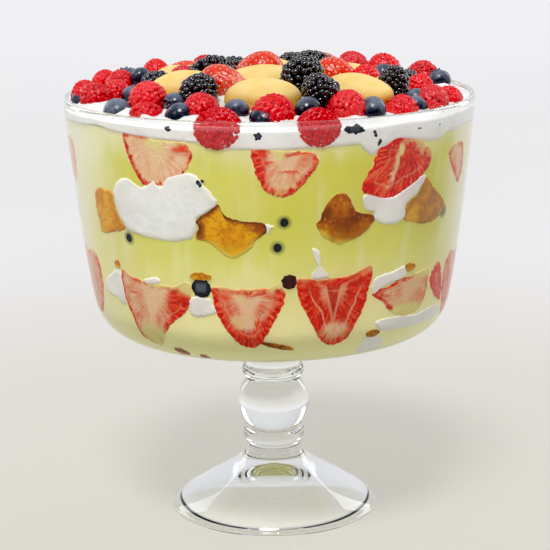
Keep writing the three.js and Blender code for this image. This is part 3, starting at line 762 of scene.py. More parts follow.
# The four at the front have outlines of their own, in azimuth and height.
SIDE_SPONGES = [
    [(-59.3, 189), (-55.6, 192), (-50.1, 191), (-49.5, 187), (-48.8, 181), (-45.7, 173), (-51.6, 169),
     (-58.5, 167), (-59.4, 173), (-60.2, 181)],
    [(-14.7, 190.5), (-13.6, 187), (-12.2, 184.5), (-7.8, 182), (-1.9, 181), (-0.6, 177), (-3.8, 172),
     (-5.1, 168), (-7.4, 164.5), (-10.8, 162), (-14, 164), (-17.8, 170), (-21.8, 172), (-20.6, 178),
     (-21.5, 181), (-18, 186)],
    [(19.7, 195), (16.8, 193), (14.5, 188), (13.3, 182), (12.3, 179), (13.5, 174), (15.5, 171),
     (19.3, 168), (25.3, 171), (28.5, 175), (30.1, 179), (29.4, 182), (24.9, 184), (23, 188),
     (21.8, 192.5)],
    [(48, 197), (51.4, 192.5), (55.4, 187), (58.7, 182), (59.3, 178), (57, 174), (53.4, 172),
     (48.5, 172), (44.5, 174), (39.8, 177), (40.5, 183), (42, 186), (45.4, 190)],
] + far_side(4, 92, 252, 180, 33, 25)
# Brownness, how far it fades into the custard, dark upper edge, paleness, browner to one side.
PLAIN_CRUST = (0.3, 0.4, 0.6, 0.0, 0.0)
SPONGE_LOOKS = [
    (0.14, 0.0, 0.1, 0.1, 0.0), (0.22, 0.7, 1.0, 0.0, 0.0), (0.8, 0.4, 0.1, 0.0, 0.0),
    (0.6, 0.1, 0.3, 0.4, 0.0),
] + 4 * [PLAIN_CRUST]
# Patches of them: azimuth, height, half their width and height, brownness, fade.
SPONGE_PATCHES = [
    [(-59, 182, 3, 12, 0.0, 0.9)],
    [(-4, 179, 6, 4, 0.8, 0.7), (-12.5, 176, 6, 6, 0.0, 0.7), (-20, 176, 3, 6, 0.6, 0.7),
     (-11, 165, 8, 3, 0.1, 1.0)],
    [(14.5, 173, 3, 3, 0.4, 0.8), (20, 168, 8, 2, 0.5, 0.8), (24, 176, 7, 6, 0.95, 0.1)],
    [(44, 178, 4, 6, 0.3, 0.3), (54, 186, 5, 6, 0.8, 0.1)],
] + 4 * [[]]
for i, (row, look, patches) in enumerate(zip(SIDE_SPONGES, SPONGE_LOOKS, SPONGE_PATCHES)):
    outline = row if isinstance(row, list) else placed_outline(SPONGE_SHAPE, *row)
    body = pressed_piece(outline, SPONGE_DEPTH, SPONGE_PROUD, edge=1.5, look=look, rough=0.7,
                         spin=i * 5.1, patches=patches)
    piece(f"side_sponge_crust_{i + 1:02}", body, crust_finish, "sponge", f"side_sponge_{i + 1:02}")

# ---------- whipped creams
# Softly whipped cream: a layer over the low fruit and one over the side sponges, both squeezed
# out to the glass in lobes, and a deep top layer that is spooned up into soft tufts.

CREAM_PROUD = 0.9
HEAP_EDGE = 228
HEAP_RISE = 9
LOBE_DEPTH = 7
FAR_SWAY = 4.5

cream_finish = Finish("whipped_cream", Specular_IOR_Level=0.25)
fold = cream_finish.speckle(11, 2)
cream_finish.show(
    Base_Color=fold.rising(0.3, 0.75).between((238, 238, 234), (247, 247, 244)),
    Roughness=0.42 + 0.16 * fold,
    Normal=(cream_finish.speckle(4.5, 3) + 2 * fold).relief(0.3),
)

LOBE_SHAPE = [(-0.5, 0.05), (-0.36, 0.42), (0, 0.5), (0.34, 0.38), (0.5, 0.0), (0.38, -0.4), (0, -0.5),
              (-0.36, -0.4)]
MIDDLE_OUTLINES = [
    [(-43.5, 200), (-38.9, 196.5), (-36.3, 198), (-33.7, 201), (-31.2, 198), (-28.7, 203), (-25.3, 205),
     (-21.5, 206), (-19.6, 204.5), (-17.7, 200), (-15.9, 196), (-14, 191), (-17, 186), (-20.6, 182),
     (-20.4, 178), (-22, 172), (-25.6, 169.5), (-30.6, 168.5), (-38.4, 169.5), (-46.2, 172.5),
     (-49, 180), (-50, 191), (-47.2, 198)],
    [(-1.9, 180.5), (-0.8, 181), (1, 179.5), (0, 177), (-0.7, 174.5), (-1.7, 177)],
    [(25.7, 193), (32.3, 190), (38, 192), (43.8, 196), (47.4, 199), (48.1, 196), (45.2, 190),
     (41.8, 186), (41, 182), (41, 177), (37.5, 174.5), (32.9, 175.5), (29.8, 178.5), (29, 183),
     (26.3, 185)],
]
LOWER_OUTLINES = [
    [(-55.2, 148), (-51.6, 150), (-50.6, 143), (-50.2, 137), (-51.5, 129.5), (-55.1, 132), (-59.8, 133),
     (-62.5, 137), (-59.9, 143)],
    [(-41.5, 146.5), (-37, 149.5), (-34, 148), (-36.5, 144.5), (-40.6, 144.5)],
    [(-24.8, 141), (-18.5, 141), (-17.2, 137), (-16.4, 133), (-19.8, 130.5), (-23.3, 129.5), (-25.8, 132)],
    [(11.4, 167.5), (13.4, 166.5), (14.2, 161), (14.8, 156), (16.9, 151), (12.5, 150), (11.2, 153),
     (12.9, 157), (12, 162)],
    [(30.6, 147), (34.4, 150), (39, 151), (43.2, 152), (43.9, 146.5), (38, 143.5), (33.5, 141.5),
     (30.6, 139)],
    [(31, 117), (35.8, 117), (40, 112.5), (41.7, 107.5), (36.9, 107), (29.6, 106.5), (27.9, 106),
     (29, 111.5)],
    [(33, 124.5), (40.5, 125), (46.6, 124), (54.6, 124), (64, 124), (70, 119), (64, 116.5), (52.6, 116.5),
     (42.9, 117.5), (35, 119.5)],
]
# The lobes of the far side: azimuth, height, width, height of the lobe, lean.
FAR_MIDDLE = [(-82, 184, 24, 20, 0), (82, 183, 26, 22, 5), (107, 190, 60, 34, 0), (143, 184, 34, 20, 4),
              (182, 187, 66, 30, -4), (222, 184, 42, 22, 0), (251, 184, 30, 20, 6)]
FAR_LOWER = [(92, 141, 40, 13, 0), (126, 140, 34, 15, 5), (162, 141, 28, 14, -4), (197, 140, 40, 14, 3),
             (232, 141, 30, 15, 0), (268, 140, 38, 13, -5)]


def told(body):
    """Gives a body the numbers that pressed pieces carry."""
    for layer in ("cut", "look"):
        body.verts.layers.float_color.new(layer)
    return body


def cream_layer(name, low, high, outlines, far):
    """A cream layer: the sheet behind the glass and the lobes that are pressed against it."""
    middle = (low + high) / 2
    reach = wall_radius(middle) - LOBE_DEPTH + 2
    body = told(turned([(0, low), (reach - 6, low), (reach, low + 3), (reach, high - 3),
                        (reach - 6, high), (0, high)], 96))
    for k, outline in enumerate(outlines + [placed_outline(LOBE_SHAPE, *row) for row in far]):
        pressed(body, outline, LOBE_DEPTH, CREAM_PROUD, edge=2.2, rough=0.7,
                sway=0 if k < len(outlines) else FAR_SWAY, spin=k * 2.3)
    bmesh.ops.recalc_face_normals(body, faces=body.faces)
    piece(name + "_whipped", body, cream_finish, "cream", name)


cream_layer("cream_lower", 131, 149.5, LOWER_OUTLINES, FAR_LOWER)
cream_layer("cream_middle", 174, 191, MIDDLE_OUTLINES, FAR_MIDDLE)


def heap_height(radius):
    """Height of the top cream before it is spooned into tufts."""
    return HEAP_EDGE + HEAP_RISE * math.cos(math.pi / 2 * min(radius / RIM_RADIUS, 1))


# What lies on the heap, and how far above the cream each kind sits.
SIT = {"raspberry": 2, "blueberry": 2.5, "bramble": 5, "strawberry": 3, "sponge": 1}
RASPBERRY = 20
BLUEBERRY = 13.5
SPIRAL_STEPS = 1300
SPIRAL_REACH = 97
FAR_START = 100
FAR_END = 260
RASPBERRY_SHARE = 0.6
GOLDEN_ANGLE = 137.5
BERRY_ROOM = 0.5
# Small sponge cakes on the heap: azimuth, distance from the axis, lift, length, width, turn.
TOP_SPONGES = [
    (-62, 50, 0, 38, 28, 15), (-10, 14, -1, 46, 34, 10), (-3, 60, 1, 40, 34, -12),
    (48, 60, 0, 52, 32, -58), (82, 54, -5, 38, 26, -50), (128, 52, -4, 44, 32, 40),
    (186, 58, -2, 46, 32, 5), (240, 54, -3, 42, 32, -35),
]
# Whole strawberries: azimuth, distance, lift, length, width, turn, tip.
STRAWBERRIES = [
    (-33, 43, 2, 29, 20, -25, 10), (-165, 22, 0, 30, 22, 150, 10), (82, 36, 1, 25, 20, -20, 10),
    (152, 66, -3, 30, 24, 60, 10), (222, 74, -5, 30, 23, 200, 5),
]
# Brambles, in the same order.
BRAMBLES = [
    (-84, 60, -3, 20, 17, 10, 0), (-87, 31, 0, 27, 20, 20, -10), (-32, 68, 1, 23, 19, 60, -25),
    (27, 38, 2, 27, 22, 70, -20), (118, 28, 1.5, 23, 18, 0, 10), (20.5, 74, 3, 22, 18, -50, 25),
    (61, 73, 1, 21, 17, 20, -70), (208, 40, -3, 24, 18, 40, 0), (170, 88, -2, 22, 18, 0, 10),
    (110, 80, -6, 22, 17, 80, 10),
]
# Raspberries: azimuth, distance from the axis, lift, diameter.
RASPBERRIES = [
    (-84, 98, 1, 16), (-72, 95, 1, 17), (-75, 83, 1, 15), (-105, 93, 2, 15), (-94, 80, 2, 16),
    (-124, 76, 3, 15.5), (-48, 83, 2, 20), (-41, 94, -5, 20), (-88, 46, 2, 15), (-23, 87, 0, 19),
    (-14, 96, -1.3, 23.5), (1, 93, 0, 22), (80, 52, 2, 16), (79, 81, 1, 15), (26, 88, 0, 20),
    (13, 96, -1.3, 21.5), (46, 93, -3, 17.5), (41, 91, -7, 16), (60, 96, 0, 17.5), (55, 100, -4, 13),
    (70, 99, -1, 15.5),
]
# Blueberries, in the same order.
BLUEBERRIES = [
    (-83, 100, -1, 12.5), (-53, 96, -3, 17), (-66, 78, 0, 12), (-92, 69, 4, 12), (-37, 80, 0, 13),
    (-28, 94, -2.5, 16.5), (-11, 86, 0, 13.5), (-1, 96, -2.5, 18), (13, 86, -1, 16), (33, 93, -1, 16),
    (58, 89, 0, 12), (51, 96, -1, 12), (71, 102, -5, 9),
]


def apart(one, other):
    """Distance on the heap between two (azimuth, distance) places."""
    turn = math.radians(one[0] - other[0])
    return math.sqrt(max(one[1] ** 2 + other[1] ** 2 - 2 * one[1] * other[1] * math.cos(turn), 0))


# Every small berry of the heap; on the far side they follow a spiral, wherever one has room.
berries = [("raspberry", *row) for row in RASPBERRIES] + [("blueberry", *row) for row in BLUEBERRIES]
large = [(row[0], row[1], (row[3] + row[4]) / 2) for row in BRAMBLES + STRAWBERRIES + TOP_SPONGES]
for i in range(SPIRAL_STEPS, 0, -1):
    kind = "raspberry" if draw(0, 1) < RASPBERRY_SHARE else "blueberry"
    wide = (RASPBERRY if kind == "raspberry" else BLUEBERRY) * draw(0.85, 1.05)
    spot = ((i * GOLDEN_ANGLE) % 360, SPIRAL_REACH * math.sqrt(i / SPIRAL_STEPS))
    taken = large + [(berry[1], berry[2], berry[4]) for berry in berries]
    has_room = all(apart(other, spot) > (other[2] + wide) * BERRY_ROOM for other in taken)
    if FAR_START < spot[0] < FAR_END and has_room:
        berries.append((kind, *spot, draw(-1, 2), wide))


def resting(azimuth, radius, height, turn=0.0, tip=0.0):
    """Where a berry lies on the heap."""
    return (Matrix.Translation(round_axis(azimuth, radius, height))
            @ Matrix.Rotation(math.radians(turn), 4, "Z") @ Matrix.Rotation(math.radians(tip), 4, "Y"))


# Each berry set down: its kind, place, size, distance from the axis and whether it is squeezed.
# Two were pushed down at the rim and are squeezed against the glass: azimuth, distance.
SQUEEZED = {(-14, 96), (13, 96)}
SQUEEZED_FLAT = 0.86
SQUEEZED_DOWN = 2.6
inside = RIM_RADIUS - LIP_RADIUS
settled = []
for kind, azimuth, radius, lift, wide in berries:
    squeezed = (azimuth, radius) in SQUEEZED
    radius = min(radius, inside - wide / 2)
    height = heap_height(radius) + SIT[kind] + lift
    if squeezed:
        radius = inside - wide * 0.12
        height -= SQUEEZED_DOWN
    flat = Matrix.Diagonal((1, 1, SQUEEZED_FLAT if squeezed else 1, 1))
    lie = resting(0, 0, 0, draw(0, 360), draw(0, 30))
    settled.append((kind, resting(azimuth, radius, height) @ flat @ lie, wide, radius, squeezed))

# Where the top cream ends against the glass: azimuth, height.
CREAM_EDGE = [
    (-180, 218), (-140, 216), (-110, 219), (-85, 221), (-65, 223), (-54, 225), (-45, 223), (-36, 222),
    (-29, 221.5), (-21, 221), (-13, 217.5), (-7, 217.5), (0, 217), (7, 217.5), (18, 218), (24, 218.5),
    (26, 214), (28, 211.5), (31, 215), (36, 219), (48, 215.5), (52, 214.5), (57, 218), (70, 219),
    (85, 217), (110, 219), (140, 216), (180, 218),
]


def edge_height(azimuth):
    """Height of the lower edge of the top cream at the glass."""
    for (a, low), (b, high) in zip(CREAM_EDGE, CREAM_EDGE[1:]):
        if a <= azimuth <= b:
            t = (azimuth - a) / (b - a)
            return low + (high - low) * t * t * (3 - 2 * t)


CREAM_STEPS = 384
HEAP_RINGS = [103, 101, 99, 96, 93, 90, 87, 83, 79, 75, 70, 65, 60, 54, 48, 42, 36, 30, 24, 18, 12, 6, 0]
cream_line = wall_radius(216)
top_cream = turned(
    [(0, 213), (50, 213), (80, 213.5), (96, 214), (cream_line - 2.5, 214.6), (cream_line - 0.6, 215.2),
     (cream_line + 0.3, 215.9), (wall_radius(217) + 0.8, 217)]
    + [(wall_radius(h) + CREAM_PROUD, h) for h in (218, 219.5, 221, 222.5, 224, 225.5, 226.5)]
    + [(wall_radius(227) + 0.4, 227.4), (wall_radius(228) - 0.4, 228.3), (105, 228.9)]
    + [(ring, heap_height(ring)) for ring in HEAP_RINGS], CREAM_STEPS)
for vert in top_cream.verts:
    x, y, z = vert.co
    reach = math.hypot(x, y)
    azimuth = math.degrees(math.atan2(x, -y)) if reach > 0.01 else 0
    if z < HEAP_EDGE:
        # The side follows the line where the cream ends, and the glass with it.
        out = clamped(reach / cream_line) ** 6
        vert.co.z = z + (edge_height(azimuth) - 215.5) * clamped((HEAP_EDGE - z) / 13) * out
        shrink = (wall_radius(vert.co.z) - wall_radius(z)) * out
        vert.co.x += x / max(reach, 1) * shrink
        vert.co.y += y / max(reach, 1) * shrink
    else:
        tuft = noise.noise(Vector((x, y, 3)) / 11) + 0.5 * noise.noise(Vector((x, y, 40)) / 5)
        mound = clamped((reach - 88) / 8) * (1.2 + 3.5 * noise.noise(Vector((x, y, 9)) / 15))
        vert.co.z = z + (2.4 * tuft + 0.4 + mound) * clamped((106 - reach) / 4, 0.2)
bmesh.ops.recalc_face_normals(top_cream, faces=top_cream.faces)
piece("cream_top_whipped", top_cream, cream_finish, "cream", "cream_top_berries")

# ---------- blueberries
# Fresh blueberries with a grey bloom, painted paler where they face up as painted light from
# above, and a five-pointed crown, pressed into the top cream and down between cream and glass; a
# few sit lower down, behind the glass among the halves.

BERRY_PROUD = 1.1
FLATTENED_SHARE = 0.06


def set_down(body, mesh, matrix, tint=None, flattened=False):
    """Adds one more of a kept shape to a body, at its place, with a tint of its own."""
    one = bmesh.new()
    one.from_mesh(mesh)
    bmesh.ops.transform(one, matrix=matrix, verts=one.verts)
    layer = one.verts.layers.float_color["look"]
    for vert in one.verts:
        if tint:
            vert[layer] = (*tint, vert[layer][3])
        reach = math.hypot(vert.co.x, vert.co.y)
        above = max(vert.co.z - RIM_HEIGHT + 1, 0)
        limit = wall_radius(min(vert.co.z, RIM_HEIGHT)) + BERRY_PROUD - 0.4 * above
        if flattened and reach > limit:
            kept = limit + FLATTENED_SHARE * (reach - limit) - 0.5 * (1 - vert[layer][3])
            vert.co.xy *= kept / reach
    set_mesh = kept_mesh("one_more", one)
    body.from_mesh(set_mesh)
    bpy.data.meshes.remove(set_mesh)


# One blueberry a millimetre across, its crown up: the profile round the crown.
crown = [(0, 0.385), (0.07, 0.39), (0.11, 0.41), (0.135, 0.46), (0.16, 0.475), (0.19, 0.44)]
blue_body = turned(crown + round_edge((0, 0), 0.5, 0.44, 66, -90, 14)[:-1] + [(0, -0.44)], 30)
blue_look = blue_body.verts.layers.float_color.new("look")
for vert in blue_body.verts:
    reach = math.hypot(vert.co.x, vert.co.y)
    points = math.cos(5 * math.atan2(vert.co.y, vert.co.x))
    if vert.co.z > 0.4 and reach < 0.2:
        vert.co.z += 0.03 * points
        vert.co.x *= 1 + 0.16 * points
        vert.co.y *= 1 + 0.16 * points
    vert[blue_look] = (0, 0, 0, max(0, 1 - reach / 0.24) if vert.co.z > 0 else 0)
blue_mesh = kept_mesh("one_blueberry", blue_body)

blue_finish = Finish("blueberry_skin")
tint, bloom_share, _, crown_share = separated(blue_finish, "look")
bloom = blue_finish.speckle(7, 3) + 0.4 * (blue_finish.speckle(1.4, 2) - 0.5)
outward = blue_finish.node("ShaderNodeNewGeometry", None, None, "Normal")
facing_up = blue_finish.node("ShaderNodeSeparateXYZ", None, {0: outward}, "Z")
# Painted light: the bloom shows more where the skin faces up, as if lit from above.
bloom_and_painted_top_light = (bloom + 0.25 * bloom_share + 0.5 * facing_up).rising(0.62, 1.25)
skin_tone = tint.between((16, 20, 36), (28, 30, 48)).washed(bloom_and_painted_top_light * 0.7, (132, 142, 164))
skin_tone = skin_tone.washed(crown_share.rising(0.3, 0.75) * 0.9, (120, 100, 100))
blue_finish.show(
    Base_Color=skin_tone.washed(crown_share.rising(0.72, 0.95), (44, 34, 42)),
    Roughness=0.2 + 0.2 * bloom_and_painted_top_light,
    Normal=blue_finish.speckle(1.2, 2).relief(0.06),
)

random.seed(5)
blue_heap = bmesh.new()
blue_heap.verts.layers.float_color.new("look")
for kind, matrix, wide, radius, squeezed in settled:
    if kind == "blueberry":
        lean = Matrix.Rotation(math.radians(random.uniform(20, 140)), 4, "X")
        set_down(blue_heap, blue_mesh, matrix @ Matrix.Scale(wide, 4) @ lean,
                 (random.random(), random.random(), 0), flattened=True)
piece("blueberries", blue_heap, blue_finish, "blueberry", "cream_top_berries")

# The skin of those flat against the glass is dark; one has a painted sheen, a pale highlight
# patch across its middle, and one is wine red.
pressed_skin = Finish("pressed_blueberry", Specular_IOR_Level=0.0, Roughness=0.5)
_, across, along, _ = separated(pressed_skin, "cut")
painted_shine, wine, _, _ = separated(pressed_skin, "look")
painted_sheen = along.rising(0.15, 0.4) * (0.8 - along).rising(0.0, 0.25) * (0.6 - abs(across)).rising(0.0, 0.25)
pressed_tone = pressed_skin.speckle(2.5, 3).rising(0.35, 0.7).between((10, 12, 22), (24, 28, 40))
pressed_skin.show(
    Base_Color=pressed_tone.washed(wine, (58, 8, 14)).washed(painted_sheen * painted_shine * 0.6, (104, 116, 134)),
    Normal=pressed_skin.speckle(1.2, 2).relief(0.06),
)

# Slivers of blueberry in the cream at the glass: azimuth, height, width, height, lean.
SLIVERS = [
    (22.6, 226, 10.5, 4.2, -4), (28.6, 223, 2.2, 4.5, 20), (29.9, 218.5, 2, 5, -15),
    (43.5, 223, 3.4, 1.2, 0), (52.3, 223.4, 1.6, 2.6, 0), (-27.3, 227, 4, 2.4, 0),
    (-3.1, 224.6, 4.6, 4.2, 0), (-19.5, 200, 2.2, 4, 30), (-18.2, 201.5, 2.5, 1.6, -20),
]
# Blueberries against the glass among the low halves: azimuth, height, diameter.
SIDE_BLUEBERRIES = [(-21, 146, 11.5), (5, 150, 8)]
BERRY_SIDE = [(0.5 * math.cos(a), 0.5 * math.sin(a)) for a in (math.tau * k / 10 for k in range(10))]
for i, (azimuth, height, wide) in enumerate(SIDE_BLUEBERRIES):
    side_body = pressed_piece(placed_outline(BERRY_SIDE, azimuth, height, wide, wide, 0), wide * 0.8,
                              BERRY_PROUD, edge=wide * 0.2, look=(1 - i, 0.9 * i, 0, 0, 0),
                              rough=0.8, spin=i)
    piece(f"side_blueberry_skin_{i + 1:02}", side_body, pressed_skin, "blueberry",
          f"side_blueberry_{i + 1:02}")
sunk_body = told(bmesh.new())
# The slivers carry a little of the painted sheen.
for azimuth, height, wide, tall, lean in SLIVERS:
    pressed(sunk_body, placed_outline(SPONGE_SHAPE, azimuth, height, wide, tall, lean), 3, BERRY_PROUD,
            edge=0.8, look=(0.4, 0, 0, 0, 0), rough=1.4, spin=azimuth)
for azimuth, height in SUNK_BERRIES[:3]:
    pressed(sunk_body, placed_outline(BERRY_SIDE, azimuth, height, 4.6, 5.2, 0), 6, 0.45, edge=0.8)
bmesh.ops.recalc_face_normals(sunk_body, faces=sunk_body.faces)
piece("sunk_blueberries", sunk_body, pressed_skin, "blueberry")
bpy.data.meshes.remove(blue_mesh)

# ---------- raspberries
# Ripe red raspberries heaped round the rim, each a cap of plump drupelets, some with a paler
# dusty bloom, with painted shade in the creases, painted light on the drupelet tops and pale
# specks that are partly hairs and partly painted glints; those against the glass are pressed down
# into the cream beside it.

DRUPELET_RISE = 0.07
DRUPELET_REACH = 0.17
BURIED_BELOW = -0.24
# The raspberries this far out are drawn in full detail on the far side too.
RIM_ROW = 92


def ball(fineness, radius=1.0):
    """A ball of small triangles that can carry a look."""
    body = bmesh.new()
    bmesh.ops.create_icosphere(body, subdivisions=fineness, radius=radius)
    body.verts.layers.float_color.new("look")
    return body


def jostled(way, most):
    """A direction turned a little aside."""
    return (way + Vector(random.uniform(-most, most) for _ in range(3))).normalized()


def drupelet_ball(fineness, seed):
    """A ball one across, closely set with drupelets: fineness 5 for near ones, 4 for others."""
    centres = ball(3)
    random.seed(seed)
    spots = [jostled(vert.co, 0.05) for vert in centres.verts]
    centres.free()
    swell = [random.uniform(0.8, 1.15) for _ in spots]
    body = ball(fineness)
    layer = body.verts.layers.float_color["look"]
    for vert in body.verts:
        way = vert.co.normalized()
        turn, nearest = min((way.angle(spot, 0), k) for k, spot in enumerate(spots))
        round_off = max(1 - (turn / DRUPELET_REACH) ** 2, 0)
        rise = DRUPELET_RISE * (math.sqrt(round_off) - 0.55) * swell[nearest]
        taper = 1 - 0.1 * max(way.z, 0) ** 2
        vert.co = Vector((way.x * taper, way.y * taper, way.z * 1.03)) * (0.49 + rise)
        # The fourth number is how near the top of its drupelet a place lies: the skin paints shade in the
        # creases and light on the tops from it.
        vert[layer] = (0, 0, 0, math.sqrt(round_off) * (0.75 + 0.25 * swell[nearest]))
    return body


def resting_ball(fineness, seed):
    """The same with its buried part taken off, and the cut closed."""
    body = drupelet_ball(fineness, seed)
    cut = bmesh.ops.bisect_plane(body, geom=body.verts[:] + body.edges[:] + body.faces[:],
                                 plane_co=(0, 0, BURIED_BELOW), plane_no=(0, 0, 1), clear_inner=True)
    rim = [e for e in cut["geom_cut"] if isinstance(e, bmesh.types.BMEdge)]
    bmesh.ops.edgeloop_fill(body, edges=rim)
    return body


near_balls = [kept_mesh("near_raspberry", resting_ball(5, k)) for k in range(3)]
whole_balls = [kept_mesh("pressed_raspberry", drupelet_ball(5, k + 7)) for k in range(2)]
far_balls = [kept_mesh("far_raspberry", resting_ball(4, k)) for k in range(3)]

rasp_finish = Finish("raspberry_skin", Specular_IOR_Level=0.4)
tint, dusk, _, drupe = separated(rasp_finish, "look")
blush = rasp_finish.speckle(3.2, 2)
hair_and_glint_specks = rasp_finish.speckle(0.8, 1)
rasp_tone = tint.between((236, 28, 34), (204, 2, 22))
rasp_tone = rasp_tone.washed((dusk + 0.6 * (blush - 0.5)).rising(0.55, 1.0) * 0.35, (240, 80, 84))
# Painted shade: darker red in the creases between the drupelets.
rasp_tone = drupe.rising(0.05, 0.55).between((158, 4, 12), rasp_tone)
# Painted light: the tops of the drupelets paler.
rasp_tone = rasp_tone.washed((drupe + 0.5 * (blush - 0.5)).rising(0.9, 1.1) * 0.3, (244, 84, 82))
# Pale specks: partly fine hairs, partly painted glints.
rasp_tone = rasp_tone.washed((hair_and_glint_specks + 0.12 * drupe).rising(0.74, 0.82) * 0.5, (255, 196, 186))
rasp_finish.show(Base_Color=rasp_tone, Roughness=0.2 + 0.2 * blush,
                 Normal=rasp_finish.speckle(0.7, 2).relief(0.08))

random.seed(11)
rasp_heap = bmesh.new()
rasp_heap.verts.layers.float_color.new("look")
for i, (kind, matrix, wide, radius, squeezed) in enumerate(settled):
    if kind == "raspberry":
        near = i < len(RASPBERRIES) or radius > RIM_ROW
        shape = whole_balls[i % 2] if squeezed else (near_balls if near else far_balls)[i % 3]
        tone = (random.random(), random.random(), 0)
        set_down(rasp_heap, shape, matrix @ Matrix.Scale(wide, 4), (1, 0, 0) if squeezed else tone,
                 flattened=True)
for used_mesh in near_balls + far_balls + whole_balls:
    bpy.data.meshes.remove(used_mesh)
piece("raspberries", rasp_heap, rasp_finish, "raspberry", "cream_top_berries")

# ---------- brambles
# Ten large ripe brambles among the sponges: tight clusters of glossy drupelets, near black,
# some of them dark wine red.

bramble_finish = Finish("bramble_skin", Specular_IOR_Level=0.6, Coat_Weight=0.7, Coat_Roughness=0.08)
dark = separated(bramble_finish, "look")[0].between((10, 7, 11), (30, 6, 14))
bramble_finish.show(
    Base_Color=dark.washed(bramble_finish.speckle(2, 2).rising(0.45, 0.8) * 0.4, (36, 28, 38)),
    Roughness=0.06 + 0.12 * bramble_finish.speckle(1.5, 2),
)


def lie_on_heap(body, kind, azimuth, radius, lift, turn, tip=0.0):
    """Lays a body on the heap, as high as its kind sits."""
    height = heap_height(radius) + SIT[kind] + lift
    bmesh.ops.transform(body, matrix=resting(azimuth, radius, height, turn, tip), verts=body.verts)


bead = kept_mesh("one_drupelet", ball(2))
SEATS = 106
SEAT_DEPTH = 1.5
USUAL_WIDTH = 19
seat_spots = []
for k in range(SEATS):
    level = 1 - (2 * k + 1) / SEATS
    around = math.radians(k * GOLDEN_ANGLE)
    out = math.sqrt(1 - level ** 2)
    seat_spots.append(Vector((level, out * math.cos(around), out * math.sin(around))))
for i, (azimuth, radius, lift, length, width, turn, tip) in enumerate(BRAMBLES):
    random.seed(30 + i)
    cluster = ball(3, 0.82)
    half = Vector((length / 2 - SEAT_DEPTH, width / 2 - SEAT_DEPTH, width / 2 - SEAT_DEPTH))
    bmesh.ops.scale(cluster, vec=half, verts=cluster.verts)
    for spot in seat_spots:
        seat = Vector(a * b for a, b in zip(jostled(spot, 0.06), half)) * random.uniform(0.95, 1.06)
        size = random.uniform(1.75, 2.35) * math.sqrt(width / USUAL_WIDTH)
        set_down(cluster, bead, Matrix.Translation(seat) @ Matrix.Scale(size, 4),
                 (random.random() ** 2, 0, 0))
    lie_on_heap(cluster, "bramble", azimuth, radius, lift, turn, tip)
    piece(f"bramble_cluster_{i + 1:02}", cluster, bramble_finish, "bramble", f"bramble_{i + 1:02}")
bpy.data.meshes.remove(bead)

# ---------- whole strawberries
# Five hulled strawberries lying on the cream: orange-red and glossy, paler to one end, partly
# with painted highlight specks, with rows of small pale seeds, each in its own dimple, with painted
# shade in the dimples.

whole_finish = Finish("strawberry_skin", Roughness=0.28, Coat_Weight=0.2, Coat_Roughness=0.2)
pale_and_lit_end, _, seed_mark, dimple_shade = separated(whole_finish, "look")
skin_speckle = whole_finish.speckle(3, 3)
# Painted highlight: specks of glint over the paler end.
glint_specks = (whole_finish.speckle(1.6, 2) + 0.3 * (skin_speckle - 0.5)).rising(0.42, 0.56)
paleness_and_highlight = (pale_and_lit_end + 0.5 * (skin_speckle - 0.5)).rising(0.55, 1.1) * (0.2 + 0.6 * glint_specks)
whole_tone = skin_speckle.rising(0.3, 0.7).between((220, 26, 6), (238, 66, 28))
# Painted shade: darker red in the dimple round each seed.
whole_tone = whole_tone.washed(paleness_and_highlight, (248, 180, 160)).washed(dimple_shade * 0.6, (176, 16, 10))
whole_finish.show(
    Base_Color=whole_tone.washed(seed_mark, (250, 214, 150)),
    Roughness=0.24 + 0.16 * skin_speckle,
)

# How far each is paler towards one end: partly a paler end of its own, partly painted highlight.
PALE_AND_LIT_SIDE = [1.1, 0.7, 0.3, 0.2, 0.2]
SEED_ROWS = 12
SEED_SIZE = (0.72, 0.46, 0.4, 1)
SEED_SINK = 0.35
DIMPLE_DEPTH = 0.55
DIMPLE_REACH = 0.09


def berry_surface(way, length, width, sink):
    """A place on a strawberry's skin, narrower towards its tip, or `sink` under it."""
    girth = (1 - 0.22 * way.x) * (1 - 0.06 * max(-way.x, 0) ** 3)
    return Vector((way.x * length / 2 * (1 - 0.1 * max(-way.x - 0.6, 0)),
                   way.y * width / 2 * girth, way.z * width / 2 * girth)) * (1 - sink / (width / 2))


seed_mesh = kept_mesh("one_seed", ball(1))
for i, (azimuth, radius, lift, length, width, turn, tip) in enumerate(STRAWBERRIES):
    random.seed(50 + i)
    body = ball(5)
    layer = body.verts.layers.float_color["look"]
    seeds = []
    for row in range(SEED_ROWS):
        lean = math.radians(18 + 13 * row)
        count = max(round(15 * math.sin(lean)), 4)
        for k in range(count):
            around = math.tau * (k + 0.5 * (row % 2)) / count + random.uniform(-0.1, 0.1)
            seeds.append(Vector((math.cos(lean), math.sin(lean) * math.cos(around),
                                 math.sin(lean) * math.sin(around))))
    for vert in body.verts:
        way = vert.co.normalized()
        near = min(way.angle(seed, 0) for seed in seeds)
        sunk = math.exp(-(near / DIMPLE_REACH) ** 2)
        vert.co = berry_surface(way, length, width, DIMPLE_DEPTH * sunk)
        vert[layer] = (PALE_AND_LIT_SIDE[i] * (0.5 + 0.6 * way.x), 0, 0, sunk)
    for seed in seeds:
        spot = Matrix.Translation(berry_surface(seed, length, width, SEED_SINK))
        turned_out = seed.to_track_quat("Z", "X").to_matrix().to_4x4()
        set_down(body, seed_mesh, spot @ turned_out @ Matrix.Diagonal(SEED_SIZE), (0, 0, 1))
    lie_on_heap(body, "strawberry", azimuth, radius, lift, turn, tip)
    piece(f"whole_strawberry_{i + 1:02}", body, whole_finish, "strawberry", f"strawberry_{i + 1:02}")
bpy.data.meshes.remove(seed_mesh)

# ---------- sponge cakes on the heap
# Eight small sponge cakes set into the top cream, domed side up: a smooth pale golden top that
# turns to a browner crust towards the edge.

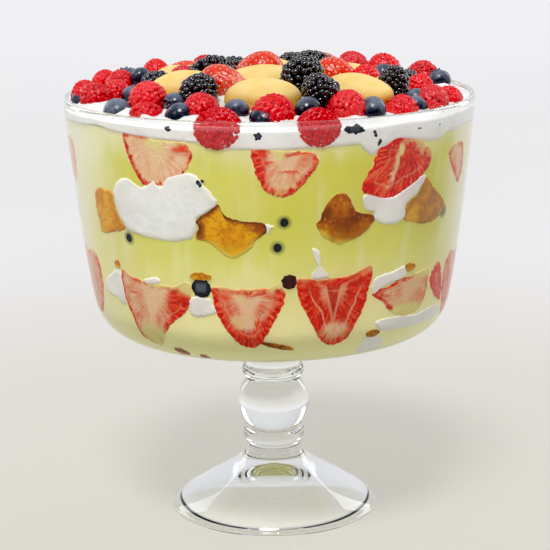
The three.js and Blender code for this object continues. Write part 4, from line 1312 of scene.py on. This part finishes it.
TOP_SPONGE_DEPTH = 22
top_crust = Finish("sponge_top", Roughness=0.62, Specular_IOR_Level=0.3)
height_share = separated(top_crust, "look")[0]
top_crumb = top_crust.speckle(1.1, 3)
top_patch = top_crust.speckle(9, 3)
top_tone = top_patch.rising(0.3, 0.7).between((246, 216, 142), (240, 207, 122))
edge_tone = top_patch.rising(0.3, 0.7).between((232, 184, 88), (216, 160, 64))
top_tone = (height_share + 0.25 * (top_patch - 0.5)).rising(0.05, 0.5).between(edge_tone, top_tone)
top_crust.show(
    Base_Color=top_tone.washed(top_crumb.rising(0.56, 0.72) * 0.45, (252, 232, 176)),
    Normal=(top_crumb + 0.6 * top_patch).relief(0.25),
)
for i, (azimuth, radius, lift, length, width, turn) in enumerate(TOP_SPONGES):
    body = ball(5)
    layer = body.verts.layers.float_color["look"]
    for vert in body.verts:
        way = vert.co.normalized()
        lump = 1 + 0.035 * noise.noise(way * 1.7 + Vector((i * 7, 0, 0)))
        vert[layer] = (max(way.z, 0), 0, 0, 0)
        vert.co = Vector((way.x * length / 2, way.y * width / 2,
                          way.z * TOP_SPONGE_DEPTH / 2 * (1 if way.z > 0 else 0.9))) * lump
    lie_on_heap(body, "sponge", azimuth, radius, lift, turn)
    piece(f"top_sponge_crust_{i + 1:02}", body, top_crust, "sponge", f"top_sponge_{i + 1:02}")

# ---------- crumbs at the glass
# Small broken bits of sponge and stalk that were pushed against the glass with the spoon.

# Azimuth, height, width, height, lean and brownness of each.
CRUMBS = [
    (-52.2, 152, 5, 4, 0, 0.3), (-21, 152, 11, 4, 0, 0.25), (45, 150.5, 8, 4, -10, 0.2),
    (-32.7, 110.6, 8, 2.6, -6, 0.8), (-24.5, 109, 6, 2.2, -12, 0.8), (1.5, 115.6, 17, 2.6, -14, 0.6),
    (33, 118, 8, 4, 0, 0.5),
]
crumb_body = bmesh.new()
for k, (*place, brown_share) in enumerate(CRUMBS):
    pressed(crumb_body, placed_outline(SPONGE_SHAPE, *place), 3, BERRY_PROUD, edge=0.4,
            look=(brown_share, 0, 0.3, 0, 0), rough=0.6, spin=k * 4.3)
bmesh.ops.recalc_face_normals(crumb_body, faces=crumb_body.faces)
piece("crumbs", crumb_body, crust_finish, "sponge")
